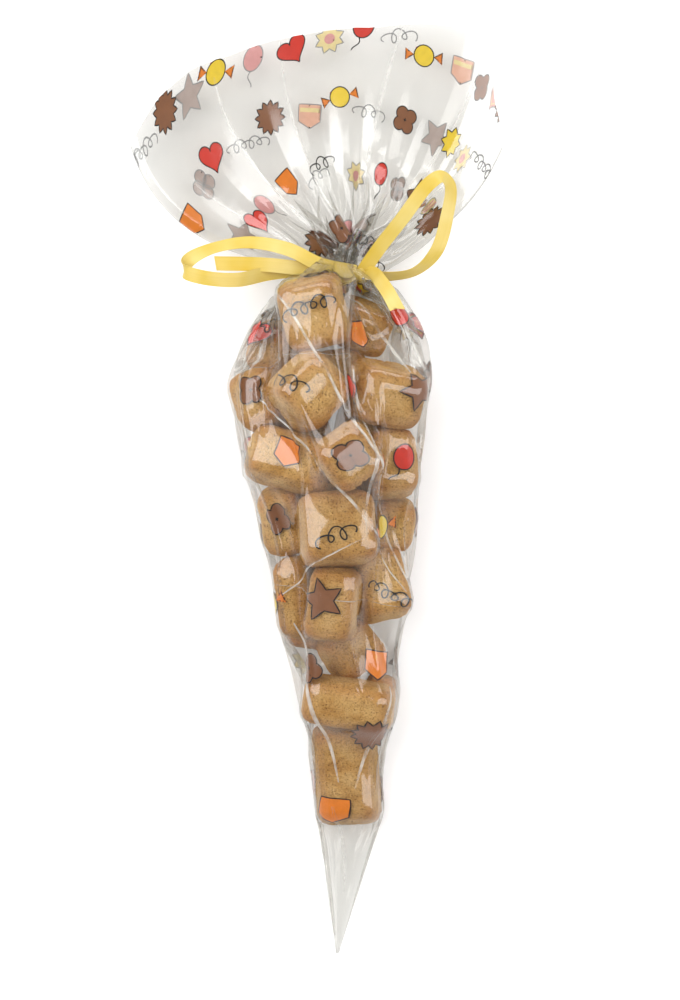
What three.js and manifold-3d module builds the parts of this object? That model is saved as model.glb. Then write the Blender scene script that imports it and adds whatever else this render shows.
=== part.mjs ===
// A clear film cone bag of spiced biscuit chunks, tied with a flat gift ribbon.
// The bag lies on its back as it comes to rest: +Y runs from the cone's tip to the mouth, +Z is up.
// Millimetres. The film is drawn with a wall that can be handled; the real one is 0.03 mm.

import * as THREE from "three";
import { mergeVertices } from "three/addons/utils/BufferGeometryUtils.js";
import Module from "manifold-3d";

const wasm = await Module();
wasm.setup();

// Film bag
const filmWall = 0.4;
const filmSlack = 1.1; // between the film and the biscuits that it holds
const tipAlong = 0;
const tipRadius = 0.9;
const tailThickness = 2.4; // the two layers of the empty tail, with the air between them
const tailStart = 12;
const flatTaper = 0.47; // flat width of the cone for each millimetre from its tip
const tailShift = 4.2; // the tail swings across towards its tip
const shoulder = 2; // from the last loaded section to the gathers under the tie
const bodyStations = 31;
const sinkDepth = 6.5; // how deep the film sinks between the biscuits
const sinkSlope = 0.8; // the steepest that it dips into such a hollow
const aroundCount = 56;
const reach = 22; // how far along the bag the film is stretched from one biscuit to the next
const near = 6.5; // a biscuit's corner this close to a station holds the film out there in full

// Tie
const neckAlong = 241;
const neckAcross = 3;
const neckHeight = 12;
const neckRadius = 4.6;
const gatherDepth = 0.45;
const gatherCount = 8;

// The top biscuit rides over the neck, so the bag's sections lean over it on their way up to the tie.
const leanFrom = 203;
const leanTo = 236;
const lean = 0.45;

// Flared mouth above the tie
const mouthStations = 9;
const mouthPleats = 7; // folds across one layer of the mouth
const mouthRest = 5.5; // height of the mouth's rim
const mouthGap = 4.2; // between its two layers
const pleatDepth = 5.2;
// The rim from the left corner to the right one: direction from the tie in degrees, distance from the tie.
const rim = [
  [149, 88.5],
  [137, 91],
  [126, 91],
  [118, 88],
  [101, 86.5],
  [84, 88],
  [70, 94.5],
  [63, 97],
  [57, 94],
  [50, 81],
  [39, 71],
];
const fanLeftAtTie = 176;
const fanRightAtTie = 4;

// Ribbon
const ribbonWidth = 5;
const ribbonThickness = 0.45;
const ribbonGap = 0.35; // between the band and the film that it gathers
const tieHalf = ribbonWidth / 2 + 1.2; // the gathers reach this far either side of the tie's middle
const knotSize = [6.4, 5, 4.2];

// The filled part's left and right edges, seen from above: how far along, then each edge's distance across.
const sides = [
  [39, -5, 12],
  [64, -8, 18],
  [85, -11, 20],
  [99, -18, 22],
  [113, -20, 24],
  [131, -22, 27],
  [152, -27, 28],
  [169, -32, 29],
  [187, -37, 31],
  [203, -38, 33],
  [218, -33, 31],
  [232, -24, 24],
  [246, -14, 14],
];

// Biscuits: size, where it lies (across the bag, along it, height of its middle), then its turn about Z, X and Y.
const floorGap = 0.35;
const biscuitGap = 0.35;
const tieClear = 3; // between the top biscuit and the gathers under the tie
const sideGap = 1.4; // between a biscuit and the edge of the filled part, seen from above
const biscuitRound = 0.24; // edge radius as a share of the thickness
const biscuits = [
  [[21, 23, 17], [-12, 229, 33], [14, 6, -8]],
  [[18, 16, 15], [6, 223, 15], [-20, 10, 8]],
  [[20, 16, 17], [3, 213, 13], [8, -12, 6]],
  [[15, 17, 17], [-24, 211, 16], [-12, 8, -14]],
  [[22, 21, 19], [-10, 202, 35], [42, 14, 10]],
  [[16, 19, 19], [-30, 197, 20], [16, -10, -20]],
  [[24, 20, 19], [16, 198, 32], [-14, 8, 14]],
  [[29, 18, 18], [-16, 179, 35], [-16, -8, -6]],
  [[18, 18, 16], [3, 177, 32], [34, 12, 6]],
  [[17, 23, 19], [21, 174, 22], [6, -6, 14]],
  [[16, 23, 19], [-18, 157, 20], [10, 6, -14]],
  [[25, 24, 18], [-1, 153, 31], [4, -8, 2]],
  [[15, 17, 18], [19, 153, 18], [-12, 10, 12]],
  [[11, 27, 15], [-16, 128, 14], [6, 4, -12]],
  [[16, 24, 16], [-4, 128, 24], [-8, 6, -6]],
  [[17, 23, 16], [14, 133, 18], [12, -6, 10]],
  [[18, 17, 14], [7, 112, 14], [38, 8, 8]],
  [[30, 15, 15], [0, 97, 12], [-8, 10, -4]],
  [[9, 17, 10], [14, 88, 7], [-10, 0, 10]],
  [[20, 33, 14], [5, 69, 9], [4, 3, -5]],
  [[19, 19, 13], [-13, 187, 9], [20, 0, 6]],
  [[18, 18, 13], [9, 188, 9], [-16, 6, 0]],
  [[21, 19, 14], [1, 164, 10], [8, -6, 4]],
  [[17, 16, 11], [-2, 142, 8], [24, 0, -6]],
  [[13, 13, 8], [-8, 116, 6], [-12, 4, 0]],
];

function solidOf(geometry) {
  const bare = geometry.index ? geometry.toNonIndexed() : geometry.clone();
  bare.deleteAttribute("normal");
  bare.deleteAttribute("uv");
  const merged = mergeVertices(bare, 1e-4);
  return new wasm.Manifold(
    new wasm.Mesh({
      numProp: 3,
      vertProperties: merged.attributes.position.array,
      triVerts: new Uint32Array(merged.index.array),
    }),
  );
}

function geometryOf(solid) {
  const made = solid.getMesh();
  const geometry = new THREE.BufferGeometry();
  geometry.setAttribute("position", new THREE.BufferAttribute(new Float32Array(made.vertProperties), 3));
  geometry.setIndex(new THREE.BufferAttribute(new Uint32Array(made.triVerts), 1));
  return geometry;
}

// A rounded, slightly tapered block: flat faces, edges in two steps. Cut from a slab of dough, so no two sides match.
function biscuitGeometry([wide, long, thick], index) {
  const round = biscuitRound * thick;
  const half = new THREE.Vector3(wide / 2, long / 2, thick / 2);
  const block = new THREE.BoxGeometry(2, 2, 2, 3, 3, 3);
  const place = block.attributes.position;
  const edge = new THREE.Vector3(1, 1, 1).sub(new THREE.Vector3(round, round, round).divide(half));
  const taper = 0.1 + 0.05 * Math.sin(index * 2.1);
  const lean = 0.09 * Math.sin(index * 1.3 + 0.5);
  for (let i = 0; i < place.count; i++) {
    const unit = new THREE.Vector3().fromBufferAttribute(place, i);
    const core = new THREE.Vector3();
    const out = new THREE.Vector3();
    for (const axis of ["x", "y", "z"]) {
      const side = Math.sign(unit[axis]);
      core[axis] = side * edge[axis] * half[axis];
      out[axis] = Math.abs(unit[axis]) > 0.99 ? side : 0;
    }
    const point = core.addScaledVector(out.normalize(), round);
    const up = point.z / half.z;
    point.x = point.x * (1 - taper * up) + lean * point.z;
    point.y *= 1 - 0.7 * taper * up;
    place.setXYZ(i, point.x, point.y, point.z);
  }
  return block;
}

function biscuitPieces() {
  return biscuits.map(([size, [across, along, height], [turn, pitch, roll]], index) => {
    const geometry = biscuitGeometry(size, index);
    const rad = THREE.MathUtils.degToRad;
    const mesh = new THREE.Mesh(geometry);
    mesh.rotation.set(rad(pitch), rad(roll), rad(turn), "ZXY");
    mesh.position.set(across, along, height);
    return mesh;
  });
}

// World-space corners and face directions, measured from the piece's own position.
function hullData(mesh) {
  const flat = mergeVertices(
    new THREE.BufferGeometry().setAttribute("position", mesh.geometry.toNonIndexed().attributes.position.clone()),
  );
  const corners = [];
  for (let i = 0; i < flat.attributes.position.count; i++)
    corners.push(new THREE.Vector3().fromBufferAttribute(flat.attributes.position, i).applyEuler(mesh.rotation));
  const faces = [];
  const order = flat.index.array;
  for (let i = 0; i < order.length; i += 3) {
    const [a, b, c] = [corners[order[i]], corners[order[i + 1]], corners[order[i + 2]]];
    const normal = b.clone().sub(a).cross(c.clone().sub(a)).normalize();
    if (!faces.some((f) => f.dot(normal) > 0.9995)) faces.push(normal);
  }
  const spans = faces.map((f) => Math.max(...corners.map((p) => p.dot(f))));
  const radius = Math.max(...corners.map((p) => p.length()));
  return { corners, faces, spans, radius, place: mesh.position };
}

// The direction that parts two convex pieces best, and the gap along it (negative where they overlap).
function partingOf(a, b) {
  let best = { gap: -Infinity, along: null };
  const offset = b.place.clone().sub(a.place);
  a.faces.forEach((f, i) => {
    const gap = offset.dot(f) + Math.min(...b.corners.map((p) => p.dot(f))) - a.spans[i];
    if (gap > best.gap) best = { gap, along: f };
  });
  b.faces.forEach((f, i) => {
    const gap = -offset.dot(f) + Math.min(...a.corners.map((p) => p.dot(f))) - b.spans[i];
    if (gap > best.gap) best = { gap, along: f.clone().negate() };
  });
  return best;
}

// How far a point at this distance along and height leans over towards the mouth.
function leanAt(along, height) {
  return lean * THREE.MathUtils.smoothstep(along, leanFrom, leanTo) * (height - neckHeight);
}

// Which upright section a point of the leaning bag belongs to.
function uprightAlong(p) {
  return p.y - leanAt(p.y, p.z);
}

// The point of the leaning bag that stands for a point of an upright section.
function leaned(p) {
  let along = p.y;
  for (let pass = 0; pass < 40; pass++) along = p.y + leanAt(along, p.z);
  return new THREE.Vector3(p.x, along, p.z);
}

// The filled part's left or right edge at a distance along the bag.
function sideAt(along, column) {
  const at = sides.findIndex(([y]) => y >= along);
  if (at <= 0) return at < 0 ? sides.at(-1)[column] : sides[0][column];
  const [from, to] = [sides[at - 1], sides[at]];
  return THREE.MathUtils.lerp(from[column], to[column], (along - from[0]) / (to[0] - from[0]));
}

// How far a biscuit must move across to lie between the bag's edges.
function inwardMove({ corners, place }) {
  let [left, right] = [0, 0];
  for (const corner of corners) {
    const across = corner.x + place.x;
    const along = corner.y + place.y;
    left = Math.max(left, sideAt(along, 1) + sideGap - across);
    right = Math.max(right, across - sideAt(along, 2) + sideGap);
  }
  return (left - right) / (left > 0 && right > 0 ? 2 : 1);
}

// Lets the biscuits push each other apart until none overlaps, with each held near its own place and off the floor.
function settle(pieces, floor) {
  const data = pieces.map(hullData);
  const home = pieces.map((p) => p.position.clone());
  const lowest = data.map((d) => -Math.min(...d.corners.map((p) => p.z)));
  const topLimit = neckAlong - tieHalf - tieClear;
  const rounds = 420;
  for (let round = 0; round < rounds; round++) {
    const ease = Math.max(0, 1 - round / (0.75 * rounds));
    data.forEach((d, i) => {
      d.place.x += 0.12 * ease * (home[i].x - d.place.x);
      d.place.y += 0.12 * ease * (home[i].y - d.place.y);
      d.place.z += 0.05 * ease * (home[i].z - d.place.z) - 0.12 * ease;
      d.place.x += Math.min(1, 4 * ease) * inwardMove(d);
    });
    for (let i = 0; i < data.length; i++)
      for (let j = i + 1; j < data.length; j++) {
        const [a, b] = [data[i], data[j]];
        if (a.place.distanceTo(b.place) > a.radius + b.radius) continue;
        const { gap, along } = partingOf(a, b);
        if (gap >= biscuitGap) continue;
        const push = (biscuitGap + 0.02 - gap) / 2;
        a.place.addScaledVector(along, -push);
        b.place.addScaledVector(along, push);
      }
    data.forEach((d, i) => {
      d.place.z = Math.max(d.place.z, floor + lowest[i]);
      const over = Math.max(...d.corners.map((p) => uprightAlong(p.clone().add(d.place)))) - topLimit;
      d.place.y -= Math.max(over, 0);
    });
  }
  return data;
}

// Points where the taut film could cross a station: on straight lines between points before it and after it.
function crossingsAt(along, points) {
  const before = points.filter((p) => p.y <= along && along - p.y < reach);
  const after = points.filter((p) => p.y > along && p.y - along < reach);
  const crossings = points.filter((p) => Math.abs(p.y - along) < near).map((p) => new THREE.Vector2(p.x, p.z));
  for (const p of before)
    for (const q of after) {
      const share = (along - p.y) / (q.y - p.y);
      crossings.push(new THREE.Vector2(p.x + share * (q.x - p.x), p.z + share * (q.z - p.z)));
    }
  return crossings;
}

// Ring point k lies in this direction from a round section's middle: from the left, by the underside, to the right.
function ringTurn(k) {
  return Math.PI + (k / aroundCount) * 2 * Math.PI;
}

// The film's section at one station: the outline that lies slack of the crossings in every direction.
function loadedSection(along, points) {
  const crossings = crossingsAt(along, points);
  const lines = Array.from({ length: aroundCount }, (_, k) => {
    const turn = ringTurn(k - 0.5);
    const out = new THREE.Vector2(Math.cos(turn), Math.sin(turn));
    let far = -Infinity;
    for (const p of crossings) far = Math.max(far, p.dot(out));
    return { out, far: far + filmSlack };
  });
  return lines.map(({ out, far }, k) => {
    const next = lines[(k + 1) % aroundCount];
    const cross = out.x * next.out.y - out.y * next.out.x;
    const x = (far * next.out.y - next.far * out.y) / cross;
    const z = (next.far * out.x - far * next.out.x) / cross;
    return new THREE.Vector2(x, Math.max(z, filmWall));
  });
}

// A flat oval section: half its width, half its thickness, its middle.
function ovalSection(halfWide, halfThick, across, height) {
  return Array.from({ length: aroundCount }, (_, k) => {
    const turn = ringTurn(k);
    return new THREE.Vector2(across + halfWide * Math.cos(turn), height + halfThick * Math.sin(turn));
  });
}

// Where the body of the bag goes round its contents, station by station, as rings of points.
function bodyRings(corners, tie) {
  const first = Math.min(...corners.map((p) => p.y));
  const last = tie[0].y - shoulder;
  const rings = [];
  const tail = [tipAlong + 0.6, tailStart, (tailStart + first) / 2, first - 6];
  for (const along of tail) {
    const share = (along - tipAlong) / first;
    const halfWide = Math.max(tipRadius, 0.44 * flatTaper * along);
    const halfThick = Math.max(tipRadius, (tailThickness / 2) * (0.8 + 1.9 * share * share * share));
    rings.push({ along, section: ovalSection(halfWide, halfThick, tailShift * share, filmWall + halfThick) });
  }
  const upright = [...corners.map((p) => new THREE.Vector3(p.x, uprightAlong(p), p.z)), ...tie];
  for (let i = 0; i < bodyStations; i++) {
    const along = THREE.MathUtils.lerp(first + 3, last, i / (bodyStations - 1));
    rings.push({ along, section: loadedSection(along, upright) });
  }
  return rings.map(({ along, section }) => section.map((p) => leaned(new THREE.Vector3(p.x, along, p.y))));
}

// How far a point can move along a direction before it comes within the slack of a biscuit.
function freeWay(point, along, blocks) {
  let free = sinkDepth;
  for (const { faces, spans, radius, place } of blocks) {
    const from = point.clone().sub(place);
    if (from.length() > radius + sinkDepth + filmSlack) continue;
    let [enter, leave] = [0, Infinity];
    faces.forEach((face, i) => {
      const closing = -face.dot(along);
      const left = from.dot(face) - spans[i] - filmSlack;
      if (closing > 1e-6) enter = Math.max(enter, left / closing);
      else if (closing < -1e-6) leave = Math.min(leave, left / closing);
      else if (left > 0) leave = -1;
    });
    if (enter < leave) free = Math.min(free, enter);
  }
  return free;
}

// The film drawn in between the biscuits, as far as they and the slope of its hollows let it.
function sunkRings(rings, blocks) {
  const firstLoaded = rings.length - bodyStations;
  const middles = rings.map((ring) => ring.reduce((sum, p) => sum.add(p), new THREE.Vector3()).divideScalar(aroundCount));
  const wrap = (k) => (k + aroundCount) % aroundCount;
  const inward = rings.map((ring, i) =>
    ring.map((p, k) => {
      const [before, after] = [rings[Math.max(i - 1, 0)][k], rings[Math.min(i + 1, rings.length - 1)][k]];
      const around = ring[wrap(k + 1)].clone().sub(ring[wrap(k - 1)]);
      return around.cross(after.clone().sub(before)).normalize();
    }),
  );
  const depths = rings.map((ring, i) =>
    ring.map((p, k) => {
      const onFloor = inward[i][k].z > 0.3;
      const atEnd = i <= firstLoaded || i >= rings.length - 2;
      if (atEnd || onFloor) return 0;
      return Math.min(0.3 * p.distanceTo(middles[i]), sinkDepth);
    }),
  );
  const samples = [0, 0.33, 0.67];
  for (let i = firstLoaded; i + 1 < rings.length; i++)
    for (let k = 0; k < aroundCount; k++)
      for (const u of samples)
        for (const v of samples) {
          const blend = (rows) => {
            const low = rows[i][k].clone().lerp(rows[i][wrap(k + 1)], u);
            return low.lerp(rows[i + 1][k].clone().lerp(rows[i + 1][wrap(k + 1)], u), v);
          };
          const free = freeWay(blend(rings), blend(inward).normalize(), blocks);
          for (const [row, column] of [[i, k], [i, wrap(k + 1)], [i + 1, k], [i + 1, wrap(k + 1)]])
            depths[row][column] = Math.min(depths[row][column], free);
        }
  for (let pass = 0; pass < 12; pass++)
    for (let i = firstLoaded; i < rings.length; i++)
      for (let k = 0; k < aroundCount; k++)
        for (const [row, column] of [[i - 1, k], [i + 1, k], [i, wrap(k - 1)], [i, wrap(k + 1)]]) {
          if (!rings[row]) continue;
          const most = depths[row][column] + sinkSlope * rings[i][k].distanceTo(rings[row][column]);
          depths[i][k] = Math.min(depths[i][k], most);
        }
  return rings.map((ring, i) => ring.map((p, k) => p.clone().addScaledVector(inward[i][k], depths[i][k])));
}

// The tight bundle under the band: a small round section with its gathers as ripples.
function neckRings() {
  return [-tieHalf, tieHalf].map((off) =>
    ovalSection(1, 1, 0, 0).map((unit, k) => {
      const ripple = gatherDepth * Math.cos((2 * Math.PI * gatherCount * k) / aroundCount);
      const r = neckRadius - filmWall - gatherDepth + ripple;
      return new THREE.Vector3(neckAcross + r * unit.x, neckAlong + off, neckHeight + r * unit.y);
    }),
  );
}

// The rim's distance from the tie in a direction, by easing between the listed ones.
function rimDistance(degrees) {
  const at = rim.findIndex(([turn]) => turn <= degrees);
  if (at <= 0) return rim[Math.max(at, 0)][1];
  const [[a, ra], [b, rb]] = [rim[at - 1], rim[at]];
  return THREE.MathUtils.lerp(ra, rb, (a - degrees) / (a - b));
}

// The flared mouth: two layers that spread from the tie like a fan, with pleats that open towards the rim.
function mouthRings(start) {
  const [left, right] = [rim[0][0], rim.at(-1)[0]];
  const rings = [];
  for (let i = 1; i <= mouthStations; i++) {
    const share = i / mouthStations;
    const fromLeft = THREE.MathUtils.lerp(fanLeftAtTie, left, share ** 2);
    const fromRight = THREE.MathUtils.lerp(fanRightAtTie, right, share ** 0.9);
    rings.push(
      start.map((_, k) => {
        const turn = (k / aroundCount) * 2;
        const back = turn < 1; // the lower layer comes first, from the left corner to the right one
        const v = back ? turn : 2 - turn;
        const degrees = THREE.MathUtils.lerp(fromLeft, fromRight, v);
        const distance = rimDistance(THREE.MathUtils.lerp(left, right, v)) * share;
        const side = back ? -1 : 1;
        const puff = Math.sin(Math.PI * v) ** 0.6;
        const wave = pleatDepth * Math.sin(Math.PI * share ** 0.8) ** 1.2 * (1 - 0.5 * share);
        const pleat = puff * wave * (0.5 - 0.5 * Math.cos(2 * Math.PI * mouthPleats * v));
        const gap = 0.7 * neckRadius * (1 - share) ** 3 + (mouthGap / 2) * puff * share ** 0.5 + 0.7;
        const curl = 9 * v ** 3 * share ** 2 + 3 * (1 - v) ** 4 * share ** 2;
        const middle = THREE.MathUtils.lerp(neckHeight, mouthRest, Math.sin((share * Math.PI) / 2)) + curl;
        const rad = THREE.MathUtils.degToRad(degrees);
        return new THREE.Vector3(
          neckAcross + distance * Math.cos(rad),
          neckAlong + tieHalf * (1 - share) + distance * Math.sin(rad),
          Math.max(middle + side * (gap + (back ? 0.35 : 1) * pleat), filmWall),
        );
      }),
    );
  }
  return rings;
}

// A double skin from a stack of rings: closed round the tip, open at the last ring, with a wall between the skins.
function shellOf(rings) {
  const count = rings.length;
  const points = rings.flat();
  const tip = rings[0].reduce((sum, p) => sum.add(p), new THREE.Vector3()).divideScalar(aroundCount);
  tip.y -= 0.5;
  const grid = new THREE.BufferGeometry().setFromPoints([...points, tip]);
  const faces = [];
  const tipIndex = points.length;
  for (let k = 0; k < aroundCount; k++) {
    const next = (k + 1) % aroundCount;
    faces.push([tipIndex, next, k]);
    for (let i = 0; i + 1 < count; i++) {
      const [a, b] = [i * aroundCount + k, i * aroundCount + next];
      const [c, d] = [a + aroundCount, b + aroundCount];
      faces.push([a, b, d], [a, d, c]);
    }
  }
  grid.setIndex(faces.flat());
  grid.computeVertexNormals();
  const normal = grid.attributes.normal;
  const all = [...points, tip];
  const outer = all.map((p, i) => p.clone().addScaledVector(new THREE.Vector3().fromBufferAttribute(normal, i), filmWall));
  outer.forEach((p) => (p.z = Math.max(p.z, 0)));
  const total = all.length;
  const triangles = [...faces, ...faces.map(([a, b, c]) => [a + total, c + total, b + total])];
  const last = (count - 1) * aroundCount;
  for (let k = 0; k < aroundCount; k++) {
    const [a, b] = [last + k, last + ((k + 1) % aroundCount)];
    triangles.push([a, b, b + total], [a, b + total, a + total]);
  }
  const shell = new THREE.BufferGeometry().setFromPoints([...outer, ...all]);
  shell.setIndex(triangles.flat());
  return shell;
}

// A flat strip along a smooth line. Each stop is a point and the direction across the strip there.
function stripGeometry(stops, steps) {
  const line = new THREE.CatmullRomCurve3(stops.map(([p]) => new THREE.Vector3(...p)), false, "centripetal");
  const across = new THREE.CatmullRomCurve3(stops.map(([, w]) => new THREE.Vector3(...w)), false, "centripetal");
  const points = [];
  for (let i = 0; i <= steps; i++) {
    const t = i / steps;
    const middle = line.getPoint(t);
    const run = line.getTangent(t);
    const wide = across.getPoint(t);
    wide.addScaledVector(run, -wide.dot(run)).setLength(ribbonWidth / 2);
    const up = new THREE.Vector3().crossVectors(run, wide).setLength(ribbonThickness / 2);
    for (const [w, u] of [[1, 1], [-1, 1], [-1, -1], [1, -1]])
      points.push(middle.clone().addScaledVector(wide, w).addScaledVector(up, u));
  }
  const faces = [[0, 2, 1], [0, 3, 2]];
  const end = steps * 4;
  for (let i = 0; i < steps; i++)
    for (let k = 0; k < 4; k++) {
      const [a, b] = [i * 4 + k, i * 4 + ((k + 1) % 4)];
      faces.push([a, b, b + 4], [a, b + 4, a + 4]);
    }
  faces.push([end, end + 1, end + 2], [end, end + 2, end + 3]);
  const strip = new THREE.BufferGeometry().setFromPoints(points);
  strip.setIndex(faces.flat());
  return strip;
}

// The bow, from the tie's middle: stops are [across, along, up] and the strip's own width direction.
// It leaves a knot at the upper right of the gathers. Its left strands run under the top biscuit.
const knotTurn = THREE.MathUtils.degToRad(62); // from straight up, towards the right
const knotOut = neckRadius + ribbonGap + ribbonThickness + 0.9;
const knotAcross = knotOut * Math.sin(knotTurn);
const knotUp = knotOut * Math.cos(knotTurn);
const leftLoop = [
  [[knotAcross - 2, 1, knotUp + 2.4], [0, 1, 0.1]],
  [[-9, 3.6, 8], [0.1, 1, -0.1]],
  [[-20, 8.8, 9], [0.1, 1, -0.25]],
  [[-34, 11.2, 9.5], [0, 0.85, -0.5]],
  [[-47, 9, 9], [-0.1, 0.8, -0.6]],
  [[-54.5, 5, 12], [-0.15, 0.9, -0.3]],
  [[-56.2, 1, 16], [-0.1, 1, 0]],
  [[-50, -1.4, 18], [0, 1, 0.1]],
  [[-38, -2.2, 15], [0, 1, 0.1]],
  [[-26, 0.6, 7.6], [0, 1, 0.05]],
  [[-14, 1.8, 6], [0, 1, 0]],
  [[knotAcross - 2.4, 0.8, knotUp + 2], [0, 1, 0]],
];
const rightLoop = [
  [[knotAcross, 0.6, knotUp + 0.8], [-0.6, 0.7, 0.3]],
  [[12, 9.6, knotUp + 5], [-0.7, 0.65, 0.25]],
  [[20.4, 20.2, knotUp + 8], [-0.75, 0.6, 0.25]],
  [[29, 31.4, knotUp + 9], [-0.6, 0.75, 0]],
  [[33.6, 34.2, knotUp + 8], [0, 0.85, -0.5]],
  [[36.6, 31, knotUp + 6], [0.7, 0.5, -0.5]],
  [[35.6, 21, knotUp + 5], [0.9, 0.1, -0.4]],
  [[31.6, 8, knotUp + 5], [0.9, -0.1, -0.4]],
  [[24, 1, knotUp + 4.6], [0.5, -0.4, -0.8]],
  [[12, -0.6, knotUp + 3.4], [0.05, -0.7, -0.7]],
  [[knotAcross + 1, 0, knotUp + 1], [0, -1, -0.3]],
];
const leftTail = [
  [[knotAcross - 2.2, 0.8, knotUp + 2.2], [0, 1, 0]],
  [[-13, 2, 6.8], [0, 1, 0.1]],
  [[-28, 3.4, 9.5], [0, 1, 0]],
  [[-45.5, 3.8, 11], [0.05, 1, 0]],
];
const rightTail = [
  [[knotAcross, 0.4, knotUp], [0.3, 1, 0.1]],
  [[9.6, 0.4, 8.6], [0.5, 0.85, 0.1]],
  [[12, -2.4, 14], [0.6, 0.75, 0.1]],
  [[15, -7, 18], [0.75, 0.6, 0.1]],
  [[17.8, -12.4, 19.6], [0.85, 0.5, 0]],
];

// The ribbon is one length: a band round the gathered film, its knot, two loops and two tails.
function ribbonGeometry() {
  const inner = neckRadius + ribbonGap;
  const profile = [
    [inner, -ribbonWidth / 2],
    [inner + ribbonThickness, -ribbonWidth / 2],
    [inner + ribbonThickness, ribbonWidth / 2],
    [inner, ribbonWidth / 2],
    [inner, -ribbonWidth / 2],
  ].map(([r, y]) => new THREE.Vector2(r, y));
  const band = solidOf(new THREE.LatheGeometry(profile, 28));
  const knotBall = new THREE.SphereGeometry(0.5, 12, 8).scale(...knotSize);
  const knot = solidOf(knotBall.rotateY(knotTurn).translate(knotAcross, 0, knotUp));
  const runs = [
    [leftLoop, 26],
    [rightLoop, 28],
    [leftTail, 8],
    [rightTail, 9],
  ].map(([stops, steps]) => solidOf(stripGeometry(stops, steps)));
  const film = solidOf(new THREE.CylinderGeometry(inner, inner, 3 * ribbonWidth, 28));
  let bow = band.add(knot);
  for (const run of runs) bow = bow.add(run);
  return geometryOf(bow.subtract(film));
}

const looks = {
  film: new THREE.MeshStandardMaterial({ color: 0xe8e5df, roughness: 0.08, metalness: 0, transparent: true, opacity: 0.3 }),
  ribbon: new THREE.MeshStandardMaterial({ color: 0xe3c22e, roughness: 0.35, metalness: 0 }),
  biscuit: new THREE.MeshStandardMaterial({ color: 0xc0904f, roughness: 0.85, metalness: 0 }),
};

function buildBag() {
  const bag = new THREE.Group();
  const pieces = biscuitPieces();
  const settled = settle(pieces, 2 * filmWall + floorGap);
  pieces.forEach((piece, i) => {
    piece.name = `biscuit_${String(i + 1).padStart(2, "0")}`;
    piece.material = looks.biscuit;
    bag.add(piece);
  });
  const corners = settled.flatMap((d) => d.corners.map((p) => p.clone().add(d.place)));
  const neck = neckRings();
  const body = sunkRings(bodyRings(corners, neck[0]), settled);
  const rings = [...body, ...neck, ...mouthRings(neck[1])];
  const film = new THREE.Mesh(shellOf(rings), looks.film);
  film.name = "film_bag";
  bag.add(film);
  const ribbon = new THREE.Mesh(ribbonGeometry(), looks.ribbon);
  ribbon.name = "ribbon";
  ribbon.position.set(neckAcross, neckAlong, neckHeight);
  bag.add(ribbon);
  return bag;
}

// The part's origin is under the middle of the whole bag, on the surface that it lies on.
function centred(bag) {
  const box = new THREE.Box3().setFromObject(bag, true);
  const middle = box.getCenter(new THREE.Vector3());
  bag.position.set(-middle.x, -middle.y, -box.min.z);
  const part = new THREE.Group();
  part.add(bag);
  part.updateMatrixWorld(true);
  return part;
}

export default centred(buildBag());
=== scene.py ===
import math

import bmesh
import bpy
import numpy as np
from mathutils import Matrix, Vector


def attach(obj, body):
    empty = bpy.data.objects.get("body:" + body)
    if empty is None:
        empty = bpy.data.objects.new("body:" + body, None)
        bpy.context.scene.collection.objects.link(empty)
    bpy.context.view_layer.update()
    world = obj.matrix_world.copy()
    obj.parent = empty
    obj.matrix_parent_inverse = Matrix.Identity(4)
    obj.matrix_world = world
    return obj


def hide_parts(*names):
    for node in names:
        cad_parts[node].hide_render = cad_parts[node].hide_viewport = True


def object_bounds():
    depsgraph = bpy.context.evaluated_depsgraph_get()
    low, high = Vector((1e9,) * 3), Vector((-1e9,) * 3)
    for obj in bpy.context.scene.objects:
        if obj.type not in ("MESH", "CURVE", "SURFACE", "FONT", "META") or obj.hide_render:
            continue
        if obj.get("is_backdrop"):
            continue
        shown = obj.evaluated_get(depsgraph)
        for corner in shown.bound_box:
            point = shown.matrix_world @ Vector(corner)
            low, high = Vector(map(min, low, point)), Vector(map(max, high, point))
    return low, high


# Places are in millimetres from the cone's tip: across, along, and up from the surface that the bag lies on.
perMetre = 1000
wallAtTip = 0.3
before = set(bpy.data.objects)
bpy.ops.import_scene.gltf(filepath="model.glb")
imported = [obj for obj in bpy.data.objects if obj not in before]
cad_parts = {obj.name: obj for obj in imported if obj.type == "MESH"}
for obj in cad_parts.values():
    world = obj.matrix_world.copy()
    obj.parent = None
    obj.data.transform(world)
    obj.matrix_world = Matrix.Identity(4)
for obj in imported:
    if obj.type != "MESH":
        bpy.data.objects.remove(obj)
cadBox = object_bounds()
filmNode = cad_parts["film_bag"]
biscuitNodes = [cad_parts[name] for name in sorted(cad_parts) if name.startswith("biscuit")]
tipCorner = min((v.co for v in filmNode.data.vertices), key=lambda co: co.y)
tipPlace = np.array([tipCorner.x * perMetre, tipCorner.y * perMetre + wallAtTip, 0.0])

tie = {"place": np.array([3.0, 241.0, 12.0]), "radius": 4.3, "half": 3.7}


def toMetres(points):
    return (np.asarray(points, float) + tipPlace) / perMetre


def fromMetres(points):
    return np.asarray(points, float) * perMetre - tipPlace


def addPiece(name, mesh, material):
    mesh.polygons.foreach_set("use_smooth", [True] * len(mesh.polygons))
    mesh.materials.clear()
    mesh.materials.append(material)
    piece = bpy.data.objects.new(name, mesh)
    bpy.context.scene.collection.objects.link(piece)
    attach(piece, "root")
    return piece


def newPiece(name, points, faces, material):
    mesh = bpy.data.meshes.new(name)
    mesh.from_pydata([tuple(p) for p in toMetres(points)], [], [tuple(int(i) for i in f) for f in faces])
    return addPiece(name, mesh, material)


def weld(mesh):
    form = bmesh.new()
    form.from_mesh(mesh)
    bmesh.ops.remove_doubles(form, verts=form.verts, dist=1e-6)
    form.to_mesh(mesh)
    form.free()


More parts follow.
